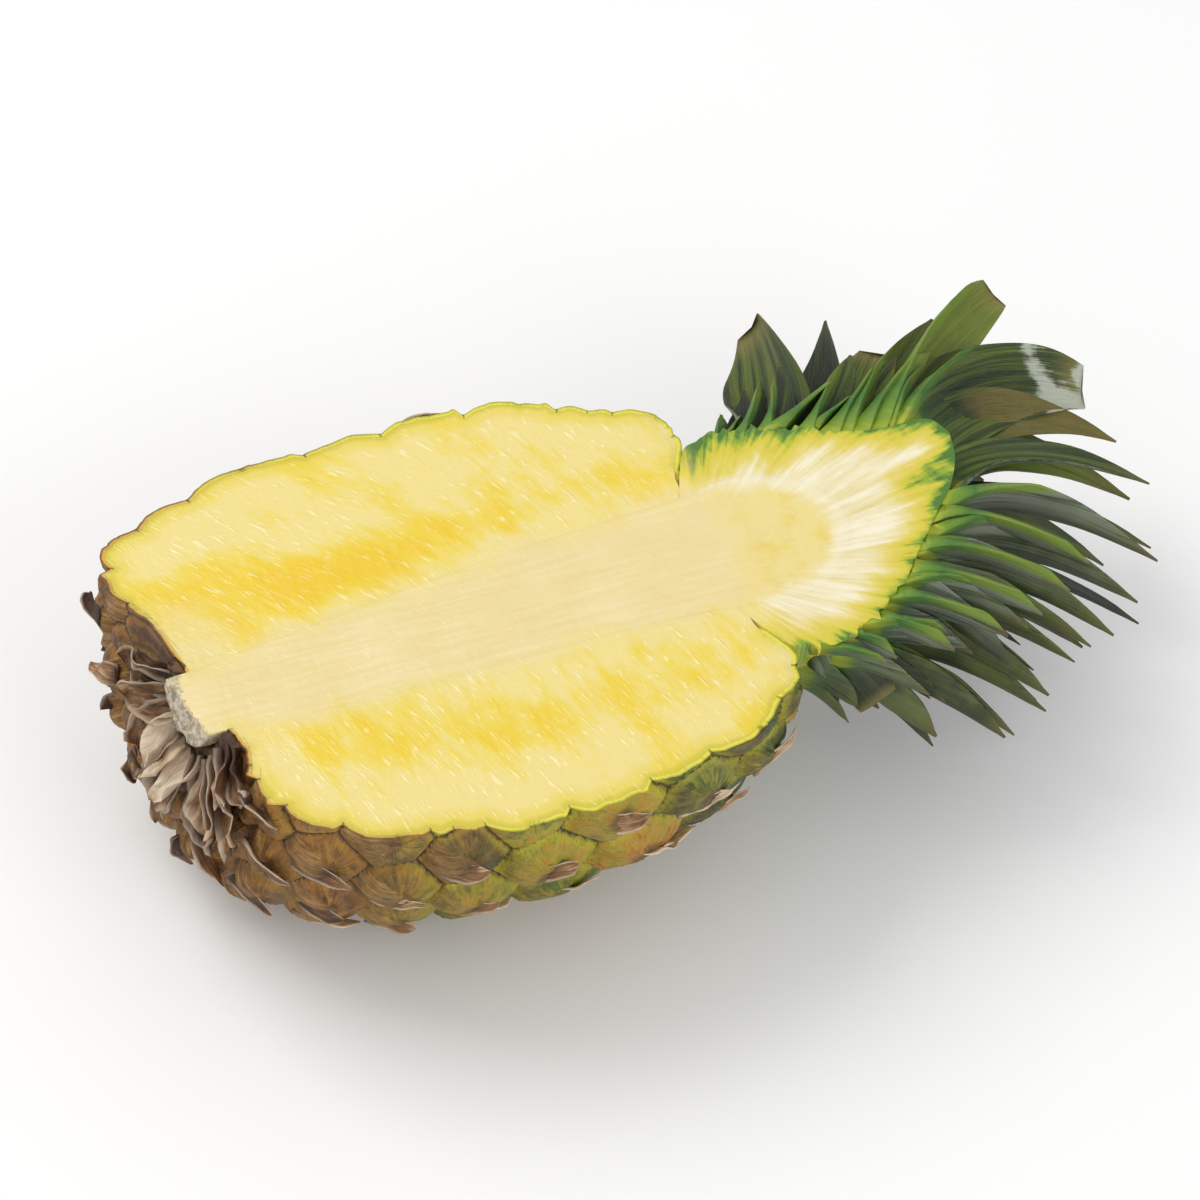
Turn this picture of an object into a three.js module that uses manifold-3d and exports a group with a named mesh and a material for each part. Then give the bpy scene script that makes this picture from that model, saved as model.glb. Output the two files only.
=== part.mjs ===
// Half a pineapple, cut lengthwise through fruit and crown and lying on its rind, cut face up.
// Millimetres. +X runs along the fruit from the stalk scar to the crown, +Z is up, and the origin
// is the middle of the flat spot that it rests on. The cut face is the plane z = CUT_HEIGHT.

import * as THREE from "three";
import { mergeVertices } from "three/addons/utils/BufferGeometryUtils.js";
import Module from "manifold-3d";

const wasm = await Module();
wasm.setup();

// Driving dimensions of the fruit
const GROOVE_RADIUS = 57.9; // largest radius, at the bottom of the grooves between the eyes
const EYE_RISE = 2.6; // from a groove to the crest of an eye
const REST_CUT = 1.9; // how far the lowest eyes are pressed flat
const CUT_HEIGHT = GROOVE_RADIUS + EYE_RISE - REST_CUT; // height of the cut face and of the axis
const RIND_THICKNESS = 3.6; // from the skin's outline in to the flesh
const SEAT_THICKNESS = 1.3; // of the rind under the crown
const GAP = 0.3; // between pieces that touch
const REACH = 400; // beyond the whole part
const LATHE_SIDES = 44;
const CORE_SIDES = 36;
const SKIN_STEPS = 16;
const SKIN_SAMPLES = 400;

// The skin's outline as [x, radius], from the stalk end to the crown end
const SKIN_OUTLINE = [
  [-58.5, 24],
  [-59.5, 31],
  [-57, 40],
  [-51, 46],
  [-41, 51],
  [-28, 54.9],
  [-12, 57.2],
  [4, GROOVE_RADIUS],
  [18, 57.1],
  [32, 54.2],
  [43, 50.3],
  [51.5, 46],
  [57.5, 40.5],
  [60.5, 34],
];
const STALK_DENT = [
  [-57, 0],
  [-57, 20.5],
]; // the shallow hollow round the stalk
const CROWN_SEAT = [
  [60, 31],
  [54, 19],
  [54, 0],
]; // the hollow that the crown grows from

// The fruit grew askew: its stalk end isn't square to the axis and its belly hangs back. The stalk
// sits a little to the -Y side and the crown's tip bends to the +Y side.
const LEAN = 0.2; // x shift for each mm of y at the stalk end
const LEAN_SPAN = [10, -60]; // x where the lean begins, and where it is full
const SLANT = 0.2; // x shift for each mm below the cut face
const SLANT_SPAN = [62, -40];
const SHALLOW = 0.07; // share of its depth that the crown end lacks
const SHALLOW_SPAN = [12, 48];
const STALK_SIDEWAYS = 5;
const STALK_SPAN = [40, -60];
const BEND_FROM = 73;
const BEND_LENGTH = 40;
const BEND_SIDEWAYS = 14;

// The eyes, on a spiral of golden angles
const GOLDEN_ANGLE = THREE.MathUtils.degToRad(137.508);
const EYE_STEP = 0.0178; // step along the skin from eye to eye, as a share of the radius
const FIRST_EYE = [0.0282, -128.4]; // how far along the skin it is, and its turn in degrees
const GROOVE_DEPTH = 1.6;
const EYE_ROOT_DEPTH = 2.6;
const EYE_ROOT = 1.04; // an eye's root and shoulder, as shares of its cell
const EYE_SHOULDER = 0.76;
const EYE_CREST = 0.03; // how far its crest is moved towards the crown, as a share of the radius
const SKIN_DEPTH = 2; // depth of the plain body that the eyes cover
const HIGHEST_EYE = 12; // above this over the cut face, the knife took eyes whole
const BRACT_SPAN = [0.08, 0.93]; // the eyes that keep their bracts, by share of the skin's length
const BRACT_REACH = 6.8;
const BRACT_LIFT = 1.1;
const BRACT_WIDTH = 6;

// The core runs from the stalk stub through the fruit into the crown, as [x, radius]
const CORE_OUTLINE = [
  [-63.5, 0],
  [-63.5, 6.6],
  [-62, 7.6],
  [-54, 8.4],
  [-38, 11],
  [0, 14],
  [38, 15.5],
  [54, 17],
  [64, 18.6],
  [72, 17.6],
  [79, 13.6],
  [83.5, 7.5],
  [85, 0],
];

// The crown's pale heart of packed leaf bases, as [x, radius]
const HEART_OUTLINE = [
  [54.4, 0],
  [54.4, 18.6],
  [59.4, 29.6],
  [64, 31.8],
  [71, 32.2],
  [79, 29.4],
  [87, 24.8],
  [95, 19.4],
  [103, 13.2],
  [110, 6.4],
  [113, 0],
];
const SHEATH = 3; // thickness of the green sheath round the heart
const SHEATH_FROM = 3; // the outline's point where the sheath starts

// The leaves
const LEAF_THICKNESS = 2.0; // at the midrib near the root
const LEAF_THINNING = 0.62; // share of that lost by the tip
const LEAF_EDGE = 0.7;
const LEAF_CHANNEL = 0.2; // depth of the channel, as a share of the width
const LEAF_TIP = 0.5; // half width at the very tip
const LEAF_STEPS = 4;
const LEAF_SINK = 1.6; // how far a root starts under the heart's surface
const LEAF_HUG = 0.6; // a root's angle off the axis, as a share of the whole leaf's
const LEAF_BELLY = 0.5; // where the curve's middle handle sits, as a share of the length
const FLOOR_CLEARANCE = 3;

// Leaves that show beside the cut. root is [x, turn] where a leaf leaves the heart and tip is
// [x, radius, turn], with turns in degrees round the axis, 0 at +Y and -90 straight down. roll turns
// the leaf's inner face up by its tip, and trimmed is the share of its length where a tip was cut off.
const SIDE_LEAVES = [
  { root: [62, -4], tip: [72, 39, -2], width: 10, roll: 40 },
  { root: [65, -16], tip: [81, 48, -6], width: 14, roll: 70 },
  { root: [67, -3], tip: [84, 46, -2], width: 11, roll: 50 },
  { root: [70, -24], tip: [93, 76, -6], width: 23, roll: 85, trimmed: 0.92 },
  { root: [74, -6], tip: [90, 50, -3], width: 14, roll: 60 },
  { root: [78, -26], tip: [107, 65, -6], width: 22, roll: 80 },
  { root: [82, -8], tip: [106, 48, -3], width: 14, roll: 60 },
  { root: [84, -30], tip: [121, 58, -8], width: 20, roll: 70, trimmed: 0.85 },
  { root: [87, -8], tip: [115, 44, -3], width: 14, roll: 55 },
  { root: [90, -14], tip: [128, 54, -4], width: 16, roll: 60 },
  { root: [93, -6], tip: [122, 42, -2], width: 13, roll: 55 },
  { root: [97, -12], tip: [147, 58, -4], width: 17, roll: 60, trimmed: 0.92 },
  { root: [99, -22], tip: [137, 45, -10], width: 18, roll: 50 },
  { root: [101, -30], tip: [162, 35, -26], width: 25, roll: 60, trimmed: 0.88 },
  { root: [104, -50], tip: [156, 22, -45], width: 22, roll: 40 },
  { root: [106, -110], tip: [153, 10, -130], width: 17, roll: 0 },
  { root: [64, -172], tip: [66, 37, -170], width: 10, roll: -10 },
  { root: [70, -176], tip: [80, 40, -177], width: 12, roll: -20 },
  { root: [67, -164], tip: [78, 45, -158], width: 15, roll: -20, trimmed: 0.86 },
  { root: [70, -150], tip: [90, 50, -145], width: 16, roll: -20 },
  { root: [76, -177], tip: [92, 42, -177], width: 14, roll: -20 },
  { root: [75, -146], tip: [105, 54, -143], width: 17, roll: -20 },
  { root: [77, -138], tip: [108, 54, -140], width: 17, roll: -20 },
  { root: [82, -177], tip: [104, 42, -177], width: 15, roll: -20 },
  { root: [80, -142], tip: [115, 51, -144], width: 17, roll: -20 },
  { root: [83, -154], tip: [114, 49, -153], width: 17, roll: -20 },
  { root: [86, -166], tip: [106, 44, -164], width: 15, roll: -20 },
  { root: [88, -177], tip: [113, 39, -177], width: 15, roll: -20 },
  { root: [88, -146], tip: [123, 43, -149], width: 17, roll: -20 },
  { root: [91, -150], tip: [127, 41, -151], width: 17, roll: -20 },
  { root: [94, -158], tip: [131, 41, -157], width: 18, roll: -20 },
  { root: [93, -177], tip: [121, 35, -177], width: 15, roll: -20 },
  { root: [97, -160], tip: [138, 36, -160], width: 18, roll: -20 },
  { root: [99, -177], tip: [128, 29, -177], width: 15, roll: -20 },
  { root: [100, -165], tip: [146, 28, -159], width: 18, roll: -10 },
];

// The rest of the crown, spaced by golden angles over the side that faces the surface. Pairs and
// triples run from the leaves at the foot to those at the top.
const UNDER_LEAVES = 68;
const UNDER_TURNS = [-126, -32];
const UNDER_ROOTS = [64, 104];
const UNDER_SPREAD = [50, 12]; // a tip's angle off the axis, degrees
const UNDER_LENGTH = [10, 60, 54];
const UNDER_WIDTH = [13, 19, 17];
const UNDER_ROLL = 40;
const SPREAD_DRAW = 8; // how far drawn numbers move a spread, degrees

// Dried bracts round the stalk, on a ring that lies in the hollow: root turn, tip as [x, radius,
// turn] from the stalk's own middle, and width
const HUSK_RING = [8.6, 14]; // inner and outer radius
const HUSK_THICKNESS = 1.2;
const HUSK_BACK = STALK_DENT[0][0] - GAP; // the ring's face that lies in the hollow
const HUSK_CHANNEL = 0.1;
const HUSK_STEPS = 3;
const HUSK_LOBES = [
  { turn: -4, tip: [-66, 16, -2], width: 10 },
  { turn: -38, tip: [-67, 20, -34], width: 12 },
  { turn: -72, tip: [-65, 24, -76], width: 13 },
  { turn: -104, tip: [-68, 21, -100], width: 12 },
  { turn: -136, tip: [-66, 27, -130], width: 14 },
  { turn: -168, tip: [-65, 22, -160], width: 12 },
];

// A closed mesh as a manifold solid, without the empty triangles at a lathe's poles.
function solid(geometry) {
  const bare = new THREE.BufferGeometry();
  bare.setAttribute("position", geometry.getAttribute("position"));
  bare.setIndex(geometry.index);
  const merged = mergeVertices(bare, 1e-4);
  const index = merged.index.array;
  const kept = [];
  for (let i = 0; i < index.length; i += 3) {
    const [a, b, c] = [index[i], index[i + 1], index[i + 2]];
    if (a !== b && b !== c && c !== a) kept.push(a, b, c);
  }
  const vertProperties = new Float32Array(merged.attributes.position.array);
  return new wasm.Manifold(new wasm.Mesh({ numProp: 3, vertProperties, triVerts: new Uint32Array(kept) }));
}

// How far x has come along a span, from 0 at its start to 1 at its end, smoothly.
function along(span, x) {
  const share = THREE.MathUtils.clamp((x - span[0]) / (span[1] - span[0]), 0, 1);
  return share * share * (3 - 2 * share);
}

// The lean, the slant and the crown's sideways bend, put on a point in place.
function settle(point) {
  const bend = Math.max(0, (point.x - BEND_FROM) / BEND_LENGTH);
  const lean = LEAN * along(LEAN_SPAN, point.x);
  const slant = SLANT * along(SLANT_SPAN, point.x);
  const depth = CUT_HEIGHT - point.z;
  point.z += SHALLOW * along(SHALLOW_SPAN, point.x) * depth;
  point.x -= lean * point.y + slant * depth;
  point.y += BEND_SIDEWAYS * bend * bend;
  return point;
}

// The same for the stalk and the core, which also drift to the -Y side.
function settleStalk(point) {
  point.y -= STALK_SIDEWAYS * along(STALK_SPAN, point.x);
  return settle(point);
}

// A point at x, at a radius and a turn round the axis.
function around(x, radius, turn) {
  return new THREE.Vector3(x, radius * Math.cos(turn), CUT_HEIGHT + radius * Math.sin(turn));
}

// An outline of [x, radius] turned round the axis and settled, as a solid. It runs from low x to high.
function turned(outline, sides = LATHE_SIDES, put = settle) {
  const lathe = new THREE.LatheGeometry(
    outline.map(([x, radius]) => new THREE.Vector2(radius, x)),
    sides,
  );
  lathe.rotateZ(-Math.PI / 2);
  lathe.translate(0, 0, CUT_HEIGHT);
  const place = lathe.getAttribute("position");
  const point = new THREE.Vector3();
  for (let i = 0; i < place.count; i++) {
    put(point.fromBufferAttribute(place, i));
    place.setXYZ(i, point.x, point.y, point.z);
  }
  return solid(lathe);
}

function boxSolid(low, high) {
  const size = high.map((value, axis) => value - low[axis]);
  const box = new THREE.BoxGeometry(...size);
  box.translate(...low.map((value, axis) => value + size[axis] / 2));
  return solid(box);
}

// A smooth curve through the skin's outline, moved out along its normal.
const skinCurve = new THREE.SplineCurve(SKIN_OUTLINE.map(([x, radius]) => new THREE.Vector2(x, radius)));

function skinPoint(share, out = 0) {
  const place = skinCurve.getPointAt(share);
  const along = skinCurve.getTangentAt(share);
  return [place.x - along.y * out, place.y + along.x * out];
}

function skinOutline(out, steps) {
  return Array.from({ length: steps + 1 }, (_, i) => skinPoint(i / steps, out));
}

// An outline moved in or out by the same distance everywhere, pole points kept on the axis.
function grown(outline, out) {
  const points = outline.map(([x, radius]) => new THREE.Vector2(x, radius));
  return points.map((point, i) => {
    const before = points[Math.max(i - 1, 0)];
    const after = points[Math.min(i + 1, points.length - 1)];
    const along = after.clone().sub(before).normalize();
    if (point.y === 0) return [point.x + out * (i === 0 ? -1 : 1), 0];
    return [point.x - along.y * out, point.y + along.x * out];
  });
}

// How far along the skin its samples lie, in lengths over the radius there. A pattern that is even
// in that and in the turn keeps its shape where the fruit narrows.
const travels = [0];
for (let i = 1; i <= SKIN_SAMPLES; i++) {
  const radius = skinPoint((i - 0.5) / SKIN_SAMPLES)[1];
  travels.push(travels[i - 1] + skinCurve.getLength() / SKIN_SAMPLES / radius);
}

function shareAt(travel) {
  const at = travels.findIndex((reached) => reached > travel);
  if (at < 1) return at === 0 ? 0 : 1;
  const [before, after] = [travels[at - 1], travels[at]];
  return (at - 1 + (travel - before) / (after - before)) / SKIN_SAMPLES;
}

// A point at a travel along the skin and a turn, moved out from it.
function onSkin(travel, turn, out) {
  return settle(around(...skinPoint(shareAt(travel), out), turn));
}

// The travel and turn of each eye that the knife left, up the spiral.
function eyePlaces() {
  const places = [];
  for (let i = 0; FIRST_EYE[0] + i * EYE_STEP < travels[SKIN_SAMPLES]; i++) {
    const travel = FIRST_EYE[0] + i * EYE_STEP;
    const turn = THREE.MathUtils.degToRad(FIRST_EYE[1]) + i * GOLDEN_ANGLE;
    if (Math.sin(turn) * skinPoint(shareAt(travel))[1] < HIGHEST_EYE) places.push([travel, turn]);
  }
  return places;
}

// Corners of one eye's cell, as [along, round] in shares of the radius: the circumcentres of the
// triangles that an eye makes with its neighbours 8, 21 and 13 places along the spiral.
function cellCorners() {
  const wrap = (angle) => Math.atan2(Math.sin(angle), Math.cos(angle));
  const neighbour = (places) => new THREE.Vector2(places * EYE_STEP, wrap(places * GOLDEN_ANGLE));
  const ring = [neighbour(8), neighbour(21), neighbour(13)];
  ring.push(...ring.map((step) => step.clone().negate()));
  return ring.map((a, i) => {
    const b = ring[(i + 1) % ring.length];
    const twiceArea = 2 * (a.x * b.y - a.y * b.x);
    const [aa, bb] = [a.lengthSq(), b.lengthSq()];
    return [(b.y * aa - a.y * bb) / twiceArea, (a.x * bb - b.x * aa) / twiceArea];
  });
}

// One eye: a low cushion on its cell, with its root sunk, its groove shared with its neighbours, a
// shoulder and an off-centre crest.
function eye(travel, turn, corners) {
  const size = Math.min(1, skinPoint(shareAt(travel))[1] / GROOVE_RADIUS + 0.15);
  const ring = (share, out) => corners.map(([u, v]) => onSkin(travel + u * share, turn + v * share, out));
  const points = [
    ...ring(EYE_ROOT, -EYE_ROOT_DEPTH),
    ...ring(1, -GROOVE_DEPTH),
    ...ring(EYE_SHOULDER, EYE_RISE * 0.8 * size),
    onSkin(travel + EYE_CREST, turn, EYE_RISE * size),
    onSkin(travel, turn, -EYE_ROOT_DEPTH),
  ];
  const [crest, bottom] = [18, 19];
  const faces = [];
  for (let i = 0; i < 6; i++) {
    const next = (i + 1) % 6;
    for (const low of [0, 6]) {
      const [here, beside] = [i + low, next + low];
      faces.push(here, beside, here + 6, beside, beside + 6, here + 6);
    }
    faces.push(i + 12, next + 12, crest, next, i, bottom);
  }
  return closed(points, faces);
}

// The dried tip of an eye's bract: a flat spike that leans towards the crown.
function bract(travel, turn) {
  const radius = skinPoint(shareAt(travel))[1];
  const size = radius / GROOVE_RADIUS;
  const at = (length, across, out) => onSkin(travel + length / radius, turn + across / radius, out);
  const half = (BRACT_WIDTH / 2) * size;
  const start = -BRACT_REACH * 0.4 * size;
  const points = [
    at(start, -half, 0.4),
    at(start, half, 0.4),
    at(start + 1.5, 0, EYE_RISE + 1.1),
    at(BRACT_REACH * 0.6 * size, 0, EYE_RISE + BRACT_LIFT * size),
  ];
  return closed(points, [0, 1, 2, 1, 3, 2, 3, 0, 2, 1, 0, 3]);
}

// Points and faces as a solid, turned right side out.
function closed(points, faces) {
  const geometry = new THREE.BufferGeometry().setFromPoints(points);
  geometry.setIndex(faces);
  const made = solid(geometry);
  if (made.volume() > 0) return made;
  const turnedRound = [];
  for (let i = 0; i < faces.length; i += 3) turnedRound.push(faces[i], faces[i + 2], faces[i + 1]);
  geometry.setIndex(turnedRound);
  return solid(geometry);
}

// A leaf blade along a curve. Its channel opens towards inward, and its midrib is thick and its
// edges thin. roll turns it about its length, from none at the root to all at the tip. Each ring
// has 6 points, and both faces are split into triangles alike.
function blade(curve, inward, { width, thickness, channel, steps, taper, trimmed = 1, roll = 0 }) {
  const ring = 6;
  const points = [];
  for (let i = 0; i <= steps; i++) {
    const share = (i / steps) * trimmed;
    const middle = curve.getPoint(share);
    const forward = curve.getTangent(share);
    const side = forward.clone().cross(inward).normalize().applyAxisAngle(forward, roll * share);
    const up = side.clone().cross(forward).normalize();
    const half = Math.max((width / 2) * taper(share), LEAF_TIP);
    const rib = Math.max(thickness * (1 - LEAF_THINNING * share), LEAF_EDGE);
    const dish = channel * 2 * half;
    const place = (across, rise) => middle.clone().addScaledVector(side, across).addScaledVector(up, rise);
    points.push(place(-half, dish), place(0, 0), place(half, dish));
    points.push(place(half, dish - LEAF_EDGE), place(0, -rib), place(-half, dish - LEAF_EDGE));
  }
  const end = steps * ring;
  const faces = [0, 5, 4, 0, 4, 1, 1, 4, 3, 1, 3, 2];
  faces.push(...[0, 4, 5, 0, 1, 4, 1, 3, 4, 1, 2, 3].map((corner) => corner + end));
  for (let i = 0; i < steps; i++) {
    for (let k = 0; k < ring; k++) {
      const a = i * ring + k;
      const b = i * ring + ((k + 1) % ring);
      const underside = k > 2;
      if (underside) faces.push(a, b, a + ring, b, b + ring, a + ring);
      else faces.push(a, b, b + ring, a, b + ring, a + ring);
    }
  }
  return closed(points, faces);
}

// Share of a leaf's full half width, by share of its length.
function leafTaper(share) {
  return Math.pow(1 - share, 0.85) * (0.86 + 0.55 * share);
}

function lobeTaper(share) {
  return 0.55 + 0.6 * share - 0.8 * share ** 3;
}

// A repeatable draw between 0 and 1.
function draw(seed) {
  const wave = Math.sin(seed * 12.9898) * 43758.5453;
  return wave - Math.floor(wave);
}

// The value at share along a short list, by straight lines between its numbers.
function mix(values, share) {
  const at = share * (values.length - 1);
  const i = Math.min(Math.floor(at), values.length - 2);
  return THREE.MathUtils.lerp(values[i], values[i + 1], at - i);
}

// Radius of an outline at x, by straight lines between its points.
function radiusAt(outline, x) {
  const next = outline.findIndex((point) => point[0] > x);
  const [[x0, r0], [x1, r1]] = [outline[next - 1], outline[next]];
  return r0 + ((r1 - r0) * (x - x0)) / (x1 - x0);
}

// A leaf from under the heart's surface to its tip. It hugs the axis more at its root.
function leaf({ root, tip, width, trimmed, roll }) {
  const [rootTurn, tipTurn] = [root[1], tip[2]].map(THREE.MathUtils.degToRad);
  const radius = radiusAt(HEART_OUTLINE, root[0]) - LEAF_SINK;
  const [rise, run] = [tip[1] - radius, tip[0] - root[0]];
  const angle = Math.atan2(rise, run) * LEAF_HUG;
  const handle = LEAF_BELLY * Math.hypot(rise, run);
  const x = root[0] + handle * Math.cos(angle);
  const curve = new THREE.QuadraticBezierCurve3(
    settle(around(root[0], radius, rootTurn)),
    settle(around(x, radius + handle * Math.sin(angle), rootTurn)),
    around(tip[0], tip[1], tipTurn),
  );
  const inward = new THREE.Vector3(0, -Math.cos(rootTurn), -Math.sin(rootTurn));
  const upwards = root[1] < -90 ? 1 : -1;
  return blade(curve, inward, {
    width,
    thickness: LEAF_THICKNESS,
    channel: LEAF_CHANNEL,
    steps: LEAF_STEPS,
    taper: leafTaper,
    trimmed,
    roll: upwards * THREE.MathUtils.degToRad(roll),
  });
}

// The leaves on the side that faces the surface, from the foot of the crown to its top.
function underLeaves() {
  const made = [];
  for (let i = 0; i < UNDER_LEAVES; i++) {
    const share = i / (UNDER_LEAVES - 1);
    const turn = -THREE.MathUtils.radToDeg(i * GOLDEN_ANGLE) % 360;
    if (turn < UNDER_TURNS[0] || turn > UNDER_TURNS[1]) continue;
    const x = mix(UNDER_ROOTS, share);
    const spread = THREE.MathUtils.degToRad(mix(UNDER_SPREAD, share) + SPREAD_DRAW * (draw(i) - 0.5));
    const length = mix(UNDER_LENGTH, share);
    const radius = radiusAt(HEART_OUTLINE, x) + length * Math.sin(spread);
    const deepest = (CUT_HEIGHT - FLOOR_CLEARANCE) / Math.sin(THREE.MathUtils.degToRad(-turn));
    made.push({
      root: [x, turn],
      tip: [x + length * Math.cos(spread), Math.min(radius, deepest), turn],
      width: mix(UNDER_WIDTH, share),
      roll: UNDER_ROLL * (draw(i + UNDER_LEAVES) - 0.5),
    });
  }
  return made;
}

// A curled lobe of the husk, from inside the ring.
function lobe({ turn, tip, width }) {
  const [rootTurn, tipTurn] = [turn, tip[2]].map(THREE.MathUtils.degToRad);
  const middle = (HUSK_RING[0] + HUSK_RING[1]) / 2;
  const rootX = HUSK_BACK - HUSK_THICKNESS / 2;
  const curve = new THREE.QuadraticBezierCurve3(
    settleStalk(around(rootX, middle, rootTurn)),
    settleStalk(around(rootX - 1, (middle + tip[1]) / 2, rootTurn)),
    settleStalk(around(tip[0], tip[1], tipTurn)),
  );
  return blade(curve, new THREE.Vector3(-1, 0, 0), {
    width,
    thickness: HUSK_THICKNESS,
    channel: HUSK_CHANNEL,
    steps: HUSK_STEPS,
    taper: lobeTaper,
  });
}

function union(solids) {
  return wasm.Manifold.union(solids);
}

function moved(outline, shift) {
  return outline.map(([x, radius]) => [x + shift, radius]);
}

// The stalk stub and the core that it becomes.
const core = turned(CORE_OUTLINE, CORE_SIDES, settleStalk);
const coreRoom = turned(grown(CORE_OUTLINE, GAP), CORE_SIDES, settleStalk);

// The flesh, inside the skin's outline.
const fleshOutline = [
  ...moved(STALK_DENT, RIND_THICKNESS),
  ...skinOutline(-RIND_THICKNESS, SKIN_STEPS),
  ...moved(CROWN_SEAT, -SEAT_THICKNESS),
];
const flesh = turned(fleshOutline).subtract(coreRoom);
const fleshRoom = turned(grown(fleshOutline, GAP));

// The rind: a plain skin with its eyes and their bracts.
const corners = cellCorners();
const eyes = eyePlaces().flatMap(([travel, turn]) => {
  const kept = shareAt(travel) > BRACT_SPAN[0] && shareAt(travel) < BRACT_SPAN[1];
  return [eye(travel, turn, corners), ...(kept ? [bract(travel, turn)] : [])];
});
const skin = turned([...STALK_DENT, ...skinOutline(-SKIN_DEPTH, SKIN_STEPS), ...CROWN_SEAT]);
const rind = union([skin, ...eyes]).subtract(fleshRoom).subtract(coreRoom);

// The crown: its pale heart, then the sheath and the leaves, clear of the heart and the fruit.
const heart = turned(HEART_OUTLINE, CORE_SIDES).subtract(coreRoom);
const heartRoom = turned(grown(HEART_OUTLINE, GAP), CORE_SIDES);
const fruitRoom = turned([
  ...moved(STALK_DENT, -GAP),
  ...skinOutline(EYE_RISE + GAP, SKIN_STEPS),
  ...moved(CROWN_SEAT, GAP),
]);
const sheathOutline = grown(HEART_OUTLINE, SHEATH).slice(SHEATH_FROM);
const sheath = turned([[sheathOutline[0][0], 0], ...sheathOutline], CORE_SIDES);
const leaves = union([sheath, ...[...SIDE_LEAVES, ...underLeaves()].map(leaf)])
  .subtract(heartRoom)
  .subtract(fruitRoom);

// The husk: a ring in the stalk's hollow, with lobes that curl out of it.
const huskFront = HUSK_BACK - HUSK_THICKNESS;
const [ringInner, ringOuter] = HUSK_RING;
const huskRing = turned(
  [
    [huskFront, ringInner],
    [huskFront, ringOuter],
    [HUSK_BACK, ringOuter],
    [HUSK_BACK, ringInner],
    [huskFront, ringInner],
  ],
  CORE_SIDES,
  settleStalk,
);
const husk = union([huskRing, ...HUSK_LOBES.map(lobe)]).subtract(fruitRoom).subtract(coreRoom);

// What the knife and the surface leave of a shape, as a named mesh. Loose scraps are dropped.
const belowCut = boxSolid([-REACH, -REACH, 0], [REACH, REACH, CUT_HEIGHT]);

function piece(name, shape, color, roughness) {
  const bodies = shape.intersect(belowCut).decompose();
  const body = bodies.sort((a, b) => b.volume() - a.volume())[0];
  const { vertProperties, triVerts } = body.getMesh();
  const geometry = new THREE.BufferGeometry();
  geometry.setAttribute("position", new THREE.BufferAttribute(new Float32Array(vertProperties), 3));
  geometry.setIndex(new THREE.BufferAttribute(new Uint32Array(triVerts), 1));
  geometry.computeVertexNormals();
  const mesh = new THREE.Mesh(geometry, new THREE.MeshStandardMaterial({ color, roughness }));
  mesh.name = name;
  return mesh;
}

const halfPineapple = new THREE.Group();
halfPineapple.add(
  piece("rind", rind, 0x8a7430, 0.75),
  piece("flesh", flesh, 0xf2dc5c, 0.35),
  piece("core", core, 0xefe1a4, 0.45),
  piece("crown_heart", heart, 0xf0e6bc, 0.45),
  piece("crown_leaves", leaves, 0x33521f, 0.5),
  piece("stalk_husk", husk, 0xa98a62, 0.85),
);

export default halfPineapple;
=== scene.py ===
import math

import bmesh
import bpy
import numpy as np
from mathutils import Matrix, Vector


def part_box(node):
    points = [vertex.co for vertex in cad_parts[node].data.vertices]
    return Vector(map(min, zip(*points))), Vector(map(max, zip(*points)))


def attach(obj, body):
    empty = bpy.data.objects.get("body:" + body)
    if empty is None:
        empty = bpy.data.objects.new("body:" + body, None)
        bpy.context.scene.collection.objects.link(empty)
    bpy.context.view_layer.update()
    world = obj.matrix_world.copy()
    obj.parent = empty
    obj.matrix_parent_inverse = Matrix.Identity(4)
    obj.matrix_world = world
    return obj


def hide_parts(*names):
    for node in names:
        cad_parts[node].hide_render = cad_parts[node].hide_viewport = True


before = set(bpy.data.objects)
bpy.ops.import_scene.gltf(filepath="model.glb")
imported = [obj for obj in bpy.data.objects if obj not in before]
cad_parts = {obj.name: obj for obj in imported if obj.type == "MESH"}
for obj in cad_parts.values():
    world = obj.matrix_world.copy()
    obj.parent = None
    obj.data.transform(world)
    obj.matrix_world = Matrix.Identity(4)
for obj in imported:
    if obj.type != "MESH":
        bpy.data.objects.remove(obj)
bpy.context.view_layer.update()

# Half a pineapple on its rind, cut face up. Shapes are worked out in millimetres, in the solids'
# frame: +X runs from the stalk to the crown, and the knife's plane is z = CUT_HEIGHT.
MM = 0.001
CUT_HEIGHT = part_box("flesh")[1].z / MM

# The fruit's outlines as [x, radius], as in the solids
SKIN_OUTLINE = [
    [-58.5, 24], [-59.5, 31], [-57, 40], [-51, 46], [-41, 51], [-28, 54.9], [-12, 57.2], [4, 57.9],
    [18, 57.1], [32, 54.2], [43, 50.3], [51.5, 46], [57.5, 40.5], [60.5, 34],
]
STALK_DENT = [[-57.6, 8.8], [-57.4, 14], [-57, 20.5]]
CROWN_SEAT = [[60, 31], [57, 25]]
CORE_OUTLINE = [
    [-61.6, 0], [-61.6, 4], [-61.4, 7.9], [-60.6, 8.7], [-54, 9.2], [-38, 11], [0, 14], [38, 15.5],
    [54, 17], [64, 18.6], [72, 17.6], [79, 13.6], [83.5, 7.5], [85, 3], [85.2, 0],
]
HEART_OUTLINE = [
    [54.4, 18], [59.4, 29.6], [64, 31.8], [71, 32.2], [79, 29.4], [87, 24.8], [95, 19.4],
    [103, 14], [109.5, 10.4], [113.6, 6.2], [115.5, 0],
]

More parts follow.
